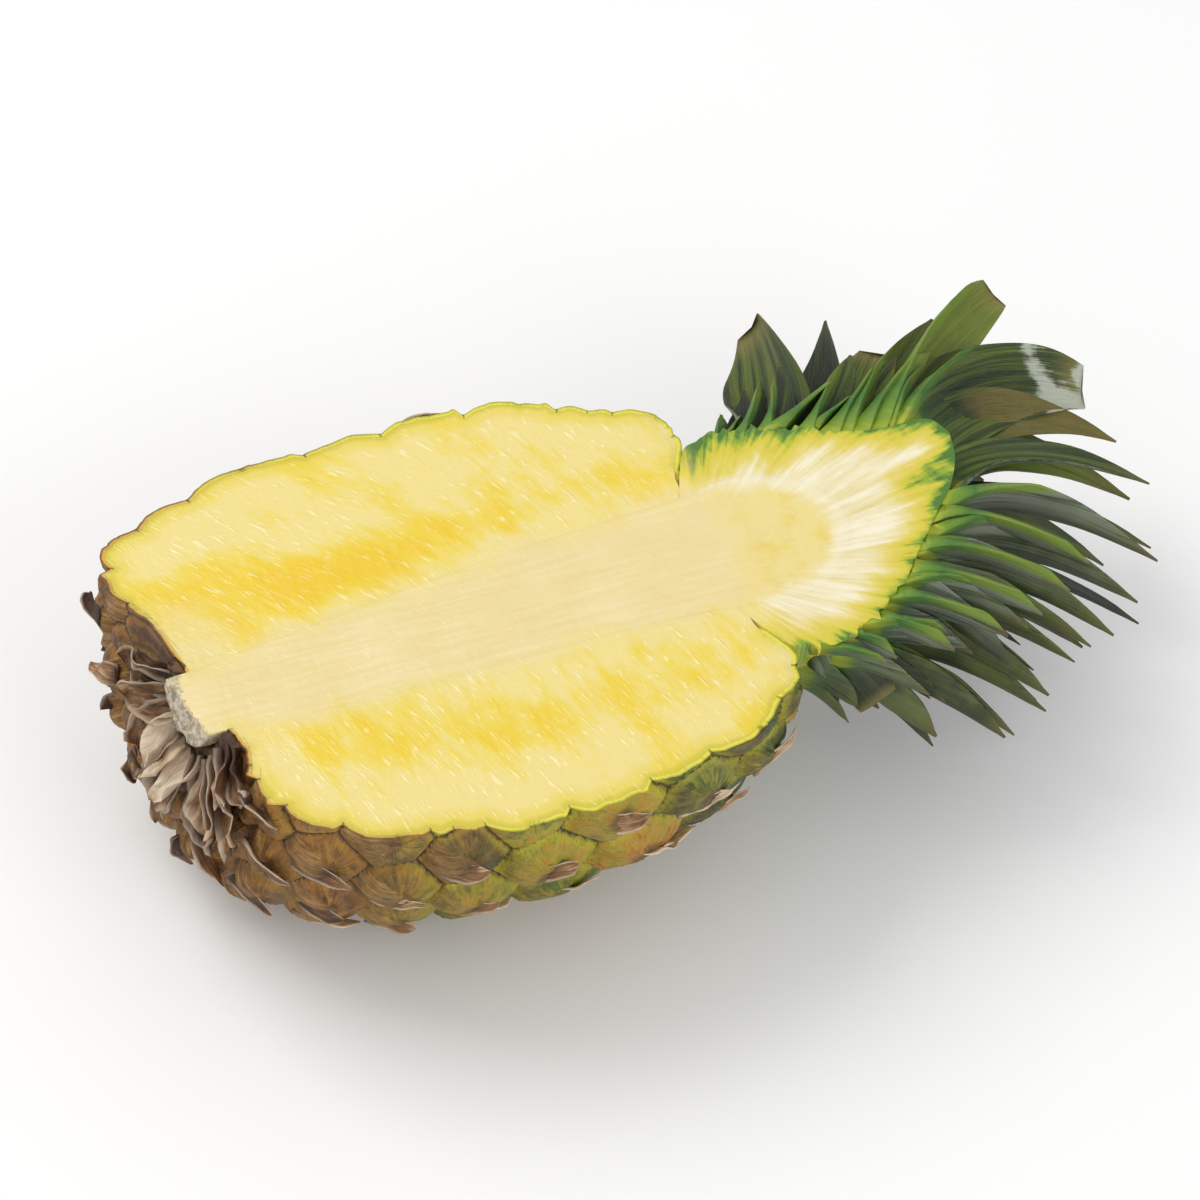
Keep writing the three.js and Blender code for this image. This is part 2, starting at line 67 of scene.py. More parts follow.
# The fruit's askew growth, each part with the x where it starts and where it is full
LEAN, LEAN_SPAN = 0.2, (10, -60)  # shift of x per mm of y
SLANT, SLANT_SPAN = 0.2, (62, -40)  # shift of x per mm under the knife's plane
SHALLOW, SHALLOW_SPAN = 0.07, (12, 48)  # share by which the depth shrinks
STALK_SIDEWAYS, STALK_SPAN = 5, (40, -60)  # the stalk's shift towards -Y
BEND_FROM, BEND_LENGTH, BEND_SIDEWAYS = 73, 40, 14  # the crown's bend towards +Y

# The eyes' spiral lattice. Travel is the way along the skin, in shares of the radius there.
GOLDEN_DEGREES = 137.508
GOLDEN_ANGLE = math.radians(GOLDEN_DEGREES)
EYE_STEP = 0.0178  # travel from one eye to the next
FIRST_EYE = (0.0282, math.radians(-128.4))  # travel and turn
EYE_RISE = 2.6
GROOVE_DEPTH = 1.6
WIDEST = 57.9  # the radius where eyes have their full size
LIP = 1.1  # how thick the skin shows on the cut face
SKIN_INSIDE = 2.8  # from the skin's outline in to where the rind piece ends

# Leaves: root (x, turn), tip (x, radius, turn), width, roll and the share where a tip was trimmed
SIDE_LEAVES = [
    ((62, -4), (72, 39, -2), 10, 40, 1), ((65, -16), (81, 48, -6), 14, 70, 1),
    ((67, -3), (84, 46, -2), 11, 50, 1), ((70, -24), (93, 76, -6), 23, 85, 0.92),
    ((74, -6), (90, 50, -3), 14, 60, 1), ((78, -26), (107, 65, -6), 22, 80, 1),
    ((82, -8), (106, 48, -3), 14, 60, 1), ((84, -30), (121, 58, -8), 20, 70, 0.85),
    ((87, -8), (115, 44, -3), 14, 55, 1), ((90, -14), (128, 54, -4), 16, 60, 1),
    ((93, -6), (122, 42, -2), 13, 55, 1), ((97, -12), (147, 58, -4), 17, 60, 0.92),
    ((99, -22), (137, 45, -10), 18, 50, 1), ((101, -30), (162, 34, -33), 24, 60, 0.88),
    ((104, -50), (156, 22, -46), 22, 40, 1), ((106, -110), (153, 10, -130), 17, 0, 1),
    ((64, -172), (66, 37, -170), 10, -10, 1), ((70, -176), (80, 40, -177), 12, -20, 1),
    ((67, -164), (78, 45, -158), 15, -20, 0.86), ((70, -150), (90, 50, -145), 16, -20, 1),
    ((76, -177), (92, 42, -177), 14, -20, 1), ((75, -146), (105, 54, -143), 17, -20, 1),
    ((77, -138), (108, 54, -140), 17, -20, 1), ((82, -177), (104, 42, -177), 15, -20, 1),
    ((80, -142), (115, 51, -144), 17, -20, 1), ((83, -154), (114, 49, -153), 17, -20, 1),
    ((86, -166), (106, 44, -164), 15, -20, 1), ((88, -177), (113, 39, -177), 15, -20, 1),
    ((88, -146), (123, 43, -149), 17, -20, 1), ((91, -150), (127, 41, -151), 17, -20, 1),
    ((94, -158), (131, 41, -157), 18, -20, 1), ((93, -177), (121, 35, -177), 15, -20, 1),
    ((97, -160), (138, 36, -160), 18, -20, 1), ((99, -177), (128, 29, -177), 15, -20, 1),
    ((100, -165), (146, 28, -159), 18, -10, 1),
]
LIGHT_LEAF, PEELED_LEAF, WITHERED_LEAF = 11, 13, 14  # places in the list above, from 0
UNDER_LEAVES, FOOT_LEAVES = 68, 84  # as many as the golden angle gives all the way round
UNDER_TURNS = (-126, -32)  # where round the axis the leaves underneath grow
FLOOR_CLEARANCE = 3
LEAF_SINK, BESIDE_SINK = 1.6, 5.5  # how deep the roots lie in the stem, and those near the cut
LEAF_PLUMP, BESIDE_PLUMP = 1.1, 2.0  # how much thicker leaves are at their roots, the same way


def span(ends, x):
    """A smooth share from 0 at the span's start to 1 at its end: s * s * (3 - 2 * s)."""
    share = np.clip((x - ends[0]) / (ends[1] - ends[0]), 0, 1)
    return share * share * (3 - 2 * share)


def mix(low, high, share):
    """From low at a share of 0 to high at 1."""
    return low + (high - low) * share


def bend(x):
    """How far the crown's axis has bent towards +Y at x."""
    return BEND_SIDEWAYS * np.maximum(0, (x - BEND_FROM) / BEND_LENGTH) ** 2


def settle(x, y, z):
    """The fruit's askew growth: x shifts with y and depth, depth shrinks and the crown bends."""
    depth = CUT_HEIGHT - z
    shift = LEAN * span(LEAN_SPAN, x) * y + SLANT * span(SLANT_SPAN, x) * depth
    height = z + SHALLOW * span(SHALLOW_SPAN, x) * depth
    return np.stack(np.broadcast_arrays(x - shift, y + bend(x), height), -1)


def around(x, radius, turn):
    """x, y and z of a point by its turn round the axis: y is radius * cos(turn), and z is
    CUT_HEIGHT + radius * sin(turn)."""
    return x, radius * np.cos(turn), CUT_HEIGHT + radius * np.sin(turn)


def place(x, radius, turn, drift=0):
    """A settled point. drift is the share of the stalk's shift to the -Y side that it takes."""
    x, y, z = around(x, radius, turn)
    return settle(x, y - drift * STALK_SIDEWAYS * span(STALK_SPAN, x), z)


def ripple(points, size, seed, waves=9):
    """Smooth unevenness about -1 to 1: the mean of sine waves near one length, size, in
    directions drawn by seed."""
    rng = np.random.default_rng(seed)
    total = np.zeros(points.shape[:-1])
    for _ in range(waves):
        direction = rng.normal(size=points.shape[-1])
        direction *= 2 * math.pi / (size * rng.uniform(0.6, 1.6) * np.linalg.norm(direction))
        total += np.sin(points @ direction + rng.uniform(0, 2 * math.pi))
    return total * 1.6 / waves


class Outline:
    """A Catmull-Rom curve through [x, radius] points, measured by its length from 0 to 1."""

    def __init__(self, points):
        ends = np.array(points, float)
        padded = np.vstack([ends[0], ends, ends[-1]])
        at = np.linspace(0, len(points) - 1, 3001)
        i = np.minimum(at.astype(int), len(points) - 2)
        t = (at - i)[:, None]
        a, b, c, d = padded[i], padded[i + 1], padded[i + 2], padded[i + 3]
        start, end = (c - a) / 2, (d - b) / 2
        line = (2 * b - 2 * c + start + end) * t**3 + (3 * c - 3 * b - 2 * start - end) * t**2
        line += start * t + b
        steps = np.linalg.norm(np.diff(line, axis=0), axis=1)
        length = np.concatenate([[0], np.cumsum(steps)])
        middle = np.maximum((line[1:, 1] + line[:-1, 1]) / 2, 1)
        forward = np.gradient(line, axis=0)
        self.line = line
        self.forward = forward / (np.linalg.norm(forward, axis=1)[:, None] + 1e-9)
        self.share = length / length[-1]
        self.length = length[-1]
        self.travel = np.concatenate([[0], np.cumsum(steps / middle)])

    def at(self, share, out=0):
        """x and radius at a share of the length, moved out along the normal."""
        x, radius, run, rise = (
            np.interp(share, self.share, values) for values in (*self.line.T, *self.forward.T)
        )
        return x - rise * out, radius + run * out


skin_line = Outline(SKIN_OUTLINE)
core_line = Outline(CORE_OUTLINE)
heart_line = Outline(HEART_OUTLINE)


def unit(vectors):
    """The vectors at length 1."""
    return vectors / (np.linalg.norm(vectors, axis=-1, keepdims=True) + 1e-12)


def shares(values):
    """The share of the way along a line of points, by its length."""
    steps = np.linalg.norm(np.diff(values, axis=0), axis=1)
    length = np.concatenate([[0], np.cumsum(steps)])
    return length / length[-1]


def closed(points, fields, last=True):
    """A tube of points, rows by columns by 3, shut at its ends by the middles of its end rings,
    but without last only at the first: its last ring then lies folded on itself and shuts alone.
    Gives points, faces and fields, with the faces turned outward: the sum of a . (b x c) over
    them is six times the volume, and has to be positive."""
    ends = [np.broadcast_to(points[k].mean(0), points[k].shape)[None] for k in (0, -1)]
    points = np.concatenate([ends[0], points, ends[1]] if last else [ends[0], points])
    rows, columns = points.shape[:2]
    flat = points.reshape(-1, 3)
    i, j = np.meshgrid(np.arange(rows - 1), np.arange(columns), indexing="ij")
    a, b = i * columns + j, i * columns + (j + 1) % columns
    faces = np.stack([a, b, b + columns, a + columns], -1).reshape(-1, 4)
    corners = [flat[faces[:, k]] - flat.mean(0) for k in range(4)]
    volume = np.einsum("ij,ij->", corners[0], np.cross(corners[1], corners[2]))
    volume += np.einsum("ij,ij->", corners[0], np.cross(corners[2], corners[3]))
    if volume < 0:
        faces = faces[:, ::-1]
    padded = {}
    for name, values in fields.items():
        whole = np.concatenate([values[:1], values, values[-1:]] if last else [values[:1], values])
        padded[name] = whole.reshape(rows * columns, *values.shape[2:])
    return flat, faces, padded


def new_piece(name, parts, finish, slot, *nodes):
    """A piece of the fruit: a mesh in the frame's metres from closed parts in millimetres, with the
    finish as its material, in place of the CAD nodes that are named. slot is not used."""
    starts = np.cumsum([0] + [len(part[0]) for part in parts])
    points = np.concatenate([part[0] for part in parts]) * MM
    faces = np.concatenate([part[1] + start for part, start in zip(parts, starts)])
    mesh = bpy.data.meshes.new(name)
    mesh.vertices.add(len(points))
    mesh.vertices.foreach_set("co", points.astype(np.float32).ravel())
    mesh.loops.add(faces.size)
    mesh.loops.foreach_set("vertex_index", faces.astype(np.int32).ravel())
    mesh.polygons.add(len(faces))
    mesh.polygons.foreach_set("loop_start", np.arange(0, faces.size, 4, dtype=np.int32))
    mesh.polygons.foreach_set("use_smooth", np.ones(len(faces), bool))
    mesh.update(calc_edges=True)
    for field in parts[0][2]:
        values = np.concatenate([part[2][field] for part in parts]).astype(np.float32)
        layer = mesh.attributes.new(field, "FLOAT_VECTOR", "POINT")
        layer.data.foreach_set("vector", values.ravel())
    weld(mesh)
    mesh.materials.append(finish)
    piece = bpy.data.objects.new(name, mesh)
    bpy.context.scene.collection.objects.link(piece)
    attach(piece, "root")
    if nodes:
        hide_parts(*nodes)


def weld(mesh):
    """Joins points that lie on each other, which shuts seams and poles, and drops empty faces."""
    work = bmesh.new()
    work.from_mesh(mesh)
    bmesh.ops.remove_doubles(work, verts=work.verts, dist=2e-6)
    bmesh.ops.dissolve_degenerate(work, edges=work.edges, dist=1e-6)
    work.to_mesh(mesh)
    work.free()
    mesh.update()


def draw(number, seed):
    """A repeatable draw from 0 to 1 for each number: the fraction of a large sine."""
    wave = np.sin(number * 12.9898 + seed * 78.233) * 43758.5453
    return wave - np.floor(wave)


# The rind and its eyes
FAR, NEAR = 0.0, -math.pi  # the turns of the cut face's two sides
DENT_ROWS, SKIN_ROWS, SEAT_ROWS = 14, 290, 8


def rind_profile():
    """Stations from the stalk's dent over the skin to the crown's seat: x and radius, the way out
    and the share of the skin's length, which stays 0 in the dent and 1 in the seat."""
    share = np.linspace(0, 1, SKIN_ROWS)
    skin = np.stack(skin_line.at(share), -1)
    dent = np.array(STALK_DENT + [skin[0].tolist()])
    seat = np.array([skin[-1].tolist()] + CROWN_SEAT)
    rows = []
    for line, count in ((dent, DENT_ROWS), (seat, SEAT_ROWS)):
        at = np.linspace(0, 1, count + 1)
        rows.append(np.stack([np.interp(at, shares(line), line[:, k]) for k in (0, 1)], -1))
    line = np.vstack([rows[0][:-1], skin, rows[1][1:]])
    forward = unit(np.gradient(line, axis=0))
    outward = unit(np.stack([-forward[:, 1], forward[:, 0]], -1))
    share = np.concatenate([np.zeros(DENT_ROWS), share, np.ones(SEAT_ROWS)])
    return line, outward, share


RIND_LINE, RIND_OUT, RIND_SHARE = rind_profile()
RIND_DRIFT = span((22, 10), RIND_LINE[:, 1]) * (RIND_SHARE <= 0)


def eye_cells(travel, turn):
    """The nearest eye's number, the place in its cell along and round, and the distance to the
    cell's edge, these in shares of the radius. The edge lies where the two nearest eyes are as
    far: (d2 * d2 - d1 * d1) / (2 * their distance)."""
    guess = np.rint((travel - FIRST_EYE[0]) / EYE_STEP)
    nearest, second = np.full((2,) + travel.shape, np.inf)
    first, other = np.zeros((2,) + travel.shape + (3,))
    for k in range(-34, 35):
        number = guess + k
        along = travel - FIRST_EYE[0] - number * EYE_STEP
        swing = turn - FIRST_EYE[1] - number * GOLDEN_ANGLE
        swing = np.arctan2(np.sin(swing), np.cos(swing))
        distance = along * along + swing * swing
        here = np.stack([number, along, swing], -1)
        closer = distance < nearest
        runner = ~closer & (distance < second)
        second = np.where(closer, nearest, np.where(runner, distance, second))
        other = np.where(closer[..., None], first, np.where(runner[..., None], here, other))
        nearest = np.where(closer, distance, nearest)
        first = np.where(closer[..., None], here, first)
    apart = np.hypot(first[..., 1] - other[..., 1], first[..., 2] - other[..., 2])
    return first[..., 0], first[..., 1], first[..., 2], (second - nearest) / (2 * apart)


def eye_size(radius):
    """The size of an eye in shares of the full one: less towards the fruit's ends."""
    return np.minimum(1, radius / WIDEST + 0.15)


def eye_relief(share, turn):
    """Height of the rind over the skin's outline, and its fields. Each eye is a cushion whose
    rise is 1 - (1 - edge / shoulder) ** 2.3. Its bract is a raised triangle over the stalk's
    half, creases run out from its middle and a groove parts it from the next."""
    travel = np.interp(share, skin_line.share, skin_line.travel)
    radius = np.interp(share, skin_line.share, skin_line.line[:, 1])
    number, along, swing, edge = eye_cells(travel, turn)
    size = eye_size(radius)
    along, swing, edge = along * radius, swing * radius, edge * radius
    tone, tilt = draw(number, 1), draw(number, 2) - 0.5
    rise = 1 - np.clip(1 - edge / (7.6 * size), 0, 1) ** 2.3
    height = (GROOVE_DEPTH + EYE_RISE * (0.7 + 0.25 * tone)) * size * rise - GROOVE_DEPTH
    bent = swing + 1.4 * tilt * np.sin(along / 4)
    reach = np.clip((along + 10 * size) / (13 * size), 0, 1)
    bract = span((-0.3, 0.5), 8.4 * size * (1 - reach) ** 0.7 - np.abs(bent))
    bract *= span((-11, -8.5), along / size)
    height += 0.7 * size * bract * span((0, 2.5), edge)
    out, spoke = np.hypot(bent, along - 1), np.arctan2(bent, along - 1)
    crease = 1 - np.abs(np.sin(spoke * 3.5 + tone * 6)) ** 0.6
    height -= 0.5 * crease * span((1, 3), out) * span((0.5, 3), edge) * (1 - bract)
    height -= 0.7 * np.exp(-((out / 1.7) ** 2))
    height += 0.6 * tilt * along / 8 * rise
    near_cut = span((14, 0), radius * np.abs(np.sin(turn)))
    hooks = 2.0 * np.exp(-(((edge - 1.6) / 0.9) ** 2)) * span((-2, 3), along)
    height = mix(height, 0.6 * height + 0.4 + hooks * (tone - 0.2), near_cut)
    fade = span((0, 0.03), share) * span((1, 0.97), share)
    cell = np.stack([along, bent, edge], -1)
    eye = np.stack([tone, bract, share], -1)
    return height * fade, cell, eye


def rind_point(rows, out, turn):
    """Points over the rind's stations, moved out along each station's way out."""
    x = RIND_LINE[rows, 0] + RIND_OUT[rows, 0] * out
    radius = RIND_LINE[rows, 1] + RIND_OUT[rows, 1] * out
    return place(x, np.maximum(radius, 0), turn, RIND_DRIFT[rows])


def rind_grain(rows, turn):
    """Unevenness of the skin, in mm: fine grains over slow lumps."""
    x, radius = RIND_LINE[rows, 0], RIND_LINE[rows, 1]
    where = np.stack(np.broadcast_arrays(x, radius * np.cos(turn), radius * np.sin(turn)), -1)
    return 0.2 * ripple(where, 3.2, 21, 12) + 0.3 * ripple(where, 11, 22)


def make_rind(finish):
    """The skin is one tube: its outside from the far rim round to the near one, the lip that
    shows on the cut face, and a plain inside."""
    outside = np.concatenate([[0, 0.001, 0.004], np.linspace(0.01, 0.99, 250), [0.996, 0.999, 1]])
    inside = np.linspace(1, 0, 22)
    turn = np.concatenate([outside, [1, 1], inside, [0, 0]]) * NEAR
    shown = np.concatenate([outside * 0, [0.06, 0.94, 1], inside[1:-1] * 0 + 2, [1, 0.94, 0.06]])
    rows = np.arange(len(RIND_SHARE))[:, None]
    turn = np.broadcast_to(turn, (len(rows), len(turn)))
    share = np.broadcast_to(RIND_SHARE[:, None], turn.shape)
    height, cell, eye = eye_relief(share, turn)
    height = height + rind_grain(rows, turn)
    deep = np.minimum(height - LIP, -SKIN_INSIDE)
    height = np.where(shown > 1, deep, height - LIP * shown)
    lip = np.minimum(shown, 1) + 0 * height
    points = rind_point(rows, height, turn)
    points[..., 2] = np.clip(points[..., 2], 0.02, CUT_HEIGHT)
    part = closed(points, {"cell": cell, "eye": eye, "lip": np.stack([lip] * 3, -1)})
    new_piece("rind_skin", [part], finish, "rind", "rind")


def rind_rim(turn):
    """The inner edge of the skin's lip in the knife's plane."""
    rows = np.arange(len(RIND_SHARE))
    turns = np.full(len(rows), turn)
    height = eye_relief(RIND_SHARE, turns)[0]
    height = height + rind_grain(rows, turns)
    rim = rind_point(rows, height - LIP, turns)
    rim[:, 2] = CUT_HEIGHT
    return rim


RIMS = {FAR: rind_rim(FAR), NEAR: rind_rim(NEAR)}


# The cut face
FAN_MIDDLE = (50, -4)  # the crown's leaf bases run out from here
DOME_MIDDLE, DOME_REACH = (58, -1), (27, 19)  # the core's rounded end in the crown
TUCK_IN, TUCK_DOWN = 0.5, 0.06  # how a cut face reaches under the piece inside it
NO_LEAVES = 60  # stands for the distance to the leaves where there are none
CORE_WIDTH = (  # x, and the core's half width there
    [-64, -54, -38, 0, 38, 54, 64, 72, 79, 83, 86, 120],
    [8.4, 9.2, 11, 14, 15.5, 17, 18.6, 17.6, 13.6, 8, -6, -20],
)
YELLOW_LOBES = [  # x, y, reach along x and y, and strength of the deep yellow
    (-34, 20, 26, 9, 1.0), (-52, 30, 12, 7, 0.7), (-8, 22, 18, 7, 0.8), (14, 26, 14, 8, 0.5),
    (38, 27, 12, 5, 0.45), (-24, -29, 13, 9, 0.5), (2, -32, 14, 8, 0.5), (30, -28, 14, 8, 0.5),
    (46, -34, 9, 6, 0.4), (-36, -22, 9, 8, 0.3),
]


def distance_to(points, line):
    """Distance in the knife's plane from each point to the nearest point of a line."""
    flat = points.reshape(-1, 3)[:, :2]
    nearest = np.full(len(flat), np.inf)
    for start in range(0, len(line), 30):
        steps = flat[:, None] - line[None, start : start + 30, :2]
        nearest = np.minimum(nearest, np.hypot(steps[..., 0], steps[..., 1]).min(1))
    return nearest.reshape(points.shape[:-1])


def cut_relief(points):
    """Height of the cut face over the knife's plane: slow waves and short fibres, under 0.3 mm."""
    flat = points[..., :2]
    return (
        0.10 * ripple(flat, 20, 3)
        + 0.07 * ripple(flat * np.array([1.0, 0.25]), 2.4, 4, 12)
        + 0.05 * ripple(flat, 1.6, 5, 12)
    )


def cut_fields(points, leafward=None):
    """Fields of the cut face, from x and y alone so that they meet across pieces. flow is the
    way along and across the fibres in millimetres. tissue is the share of core, the distance to
    the skin and the share of crown. ripe is the share of deep yellow, the share of dome and the
    distance to the leaves."""
    x, y = points[..., 0], points[..., 1]
    flat = points[..., :2]
    middle = bend(x) - STALK_SIDEWAYS * span(STALK_SPAN, x)
    off = np.abs(y - middle)
    half = np.interp(x, *CORE_WIDTH)
    tilt = np.where(y > middle, 0.3 + 0.3 * span((40, -40), x), 0.26)
    crown = span((56, 66), x + 0.1 * off)
    fan_x, fan_y = x - FAN_MIDDLE[0], y - FAN_MIDDLE[1]
    waver = 2.6 * ripple(flat, 26, 11) + 1.2 * ripple(flat, 8, 12)
    core = 1 - span((-5, 6), off - half + waver)
    core = np.maximum(core, 0.85 * span((-40, -56), x + waver) * span((32, 16), off + waver))
    dome_x = (x - DOME_MIDDLE[0]) / DOME_REACH[0]
    dome_y = (y - DOME_MIDDLE[1] - 0.1 * (x - 56)) / DOME_REACH[1]
    dome = 1 - span((0.66, 1.16), np.hypot(dome_x, dome_y) + 0.03 * waver)
    deep = 0.22 * ripple(flat * np.array([1, 0.5]), 12, 13)
    for lobe_x, lobe_y, long, wide, strength in YELLOW_LOBES:
        deep = deep + strength * np.exp(-(((x - lobe_x) / long) ** 2) - ((y - lobe_y) / wide) ** 2)
    skin = np.minimum(distance_to(points, RIMS[FAR][::2]), distance_to(points, RIMS[NEAR][::2]))
    flow = np.stack([off, x + tilt * (y - middle), np.arctan2(fan_y, fan_x) * 30], -1)
    tissue = np.stack([core, skin, crown], -1)
    leaves = np.full(x.shape, NO_LEAVES) if leafward is None else distance_to(points, leafward)
    return {"flow": flow, "tissue": tissue, "ripe": np.stack([deep, dome, leaves], -1)}


def raised(points, fields):
    """The points of a cut face lifted by its relief, less so by the skin, leaves and core's edge."""
    lifted = points.copy()
    level = span((0, 2), fields["tissue"][..., 1]) * span((7, 17), fields["ripe"][..., 2])
    border = np.abs(fields["flow"][..., 0] - np.interp(points[..., 0], *CORE_WIDTH))
    level *= 0.1 + 0.9 * span((0.3, 2.4), border)
    lifted[..., 2] = CUT_HEIGHT + cut_relief(points) * level
    return lifted


def cut_body(name, slot, finish, inner, rims, deep, leafward=None, last=True):
    """A body between an inner outline and two rims in the knife's plane, as a tube whose columns
    run over the far cut face, down round the outside, back over the near cut face and round the
    inside. inner and deep are x and radius by row, and rims are points by row. The cut face
    starts a little inside the inner outline and lower, so that no gap shows there."""
    face = np.concatenate([[0, 0.003], np.linspace(0.012, 0.99, 84), [0.997, 1]])[None, :, None]
    arc = np.linspace(0, NEAR, 20)[None, 1:-1]
    start = np.maximum(inner[:, 1] - TUCK_IN, 0)
    columns = []
    for turn in (FAR, NEAR):
        edge = place(inner[:, 0], inner[:, 1], turn, 1)
        across = mix(edge[:, None], rims[turn][:, None], face)
        across[:, 0] = place(inner[:, 0], start, turn, 1)
        columns.append(across)
    outside = place(deep[:, :1], deep[:, 1:], arc)
    inside = place(inner[:, :1], start[:, None], arc[:, ::-2], 1)
    points = np.concatenate([columns[0], outside, columns[1][:, ::-1], inside], 1)
    fields = cut_fields(points, leafward)
    count = face.shape[1]
    for first in (0, count + outside.shape[1]):
        part = (slice(None), slice(first, first + count))
        points[part] = raised(points[part], {key: values[part] for key, values in fields.items()})
    edges = [0, 2 * count + outside.shape[1] - 1]
    points[:, edges, 2] -= TUCK_DOWN
    points[np.ix_(start <= 0, edges, [2])] = CUT_HEIGHT
    new_piece(name, [closed(points, fields, last)], finish, slot, slot)


def make_flesh(finish):
    """The flesh, from the core's edge to the skin, by the rind's stations."""
    rows = len(RIND_SHARE)
    parts = [0, DENT_ROWS, rows - SEAT_ROWS, rows - 1]
    at = np.interp(np.arange(rows), parts, [-57.5, -54.5, 50, 53.9])
    inner = np.stack([at, np.interp(at, *CORE_WIDTH)], -1)
    deep = RIND_LINE - RIND_OUT * (SKIN_INSIDE - 0.2)
    deep[:, 1] = np.maximum(deep[:, 1], inner[:, 1])
    cut_body("flesh_half", "flesh", finish, inner, RIMS, deep)


HEART = np.stack(heart_line.at(np.linspace(0, 1, 150)), -1)


def heart_radius(x):
    """The radius of the crown's stem at x."""
    return np.interp(x, HEART[10:, 0], HEART[10:, 1])


def leaf_bases(turn):
    """The stem's edge in the knife's plane: each cut leaf base swells out towards the crown's
    top over 0.7 of its length, as share ** 1.4, and falls back over the rest."""
    x, radius = HEART[:, 0], HEART[:, 1]
    phase = x / 5.2 + 0.3 * np.sin(x * 0.9 + turn) + 0.25 * turn
    share = phase - np.floor(phase)
    tooth = np.minimum((share / 0.7) ** 1.4, 1) * (1 - span((0.7, 1), share))
    tooth *= 1.9 + 0.9 * np.sin(np.floor(phase) * 2.4)
    return place(x, radius + tooth * span((62, 68), x) * span((98, 82), x), turn)


BASES = {turn: leaf_bases(turn) for turn in (FAR, NEAR)}
# A leaf base that runs deep into the stem's end
NOTCH = np.linspace([102.5, 3.6, CUT_HEIGHT], [118, 5.6, CUT_HEIGHT], 30)
LEAFWARD = np.concatenate([BASES[FAR][18:], BASES[NEAR][18:], NOTCH])


def make_heart(finish):
    """The crown's stem, from the core's dome to where the leaves start."""
    start = np.interp(54.2, core_line.line[600:, 0], core_line.share[600:])
    inner = np.stack(core_line.at(np.linspace(start, 1, len(HEART))), -1)
    cut_body("crown_stem", "crown_heart", finish, inner, BASES, HEART, LEAFWARD, False)


def make_core(finish):
    """The core from the stalk's stub to its dome: a flat top and a round underside."""
    x, radius = core_line.at(np.linspace(0, 1, 330))
    x, radius = x[:, None], np.maximum(radius, 0)[:, None]
    across = np.concatenate([[1, 0.997], np.linspace(0.985, -0.985, 58), [-0.997, -1]])
    top = place(x, radius * across, 0, 1)
    under = place(x, radius, np.linspace(NEAR, 0, 22)[None, 1:-1], 1)
    points = np.concatenate([top, under], 1)
    fields = cut_fields(points)
    face = {key: values[:, : len(across)] for key, values in fields.items()}
    points[:, : len(across), 2] = raised(points[:, : len(across)], face)[..., 2]
    ragged = span((-57, -61), points[..., 0])
    points[..., 0] += ragged * (0.9 * ripple(points, 5, 31) + 0.5 * ripple(points, 1.8, 32))
    points[..., 2] = np.minimum(points[..., 2], CUT_HEIGHT + 0.3)
    new_piece("core_strip", [closed(points, fields)], finish, "core", "core")


# Leaves
TRIES = 81  # places across a leaf where the knife is looked for


def rotated(side, forward, angle):
    """Unit vectors turned about forward by an angle."""
    return side * np.cos(angle) + np.cross(forward, side) * np.sin(angle)


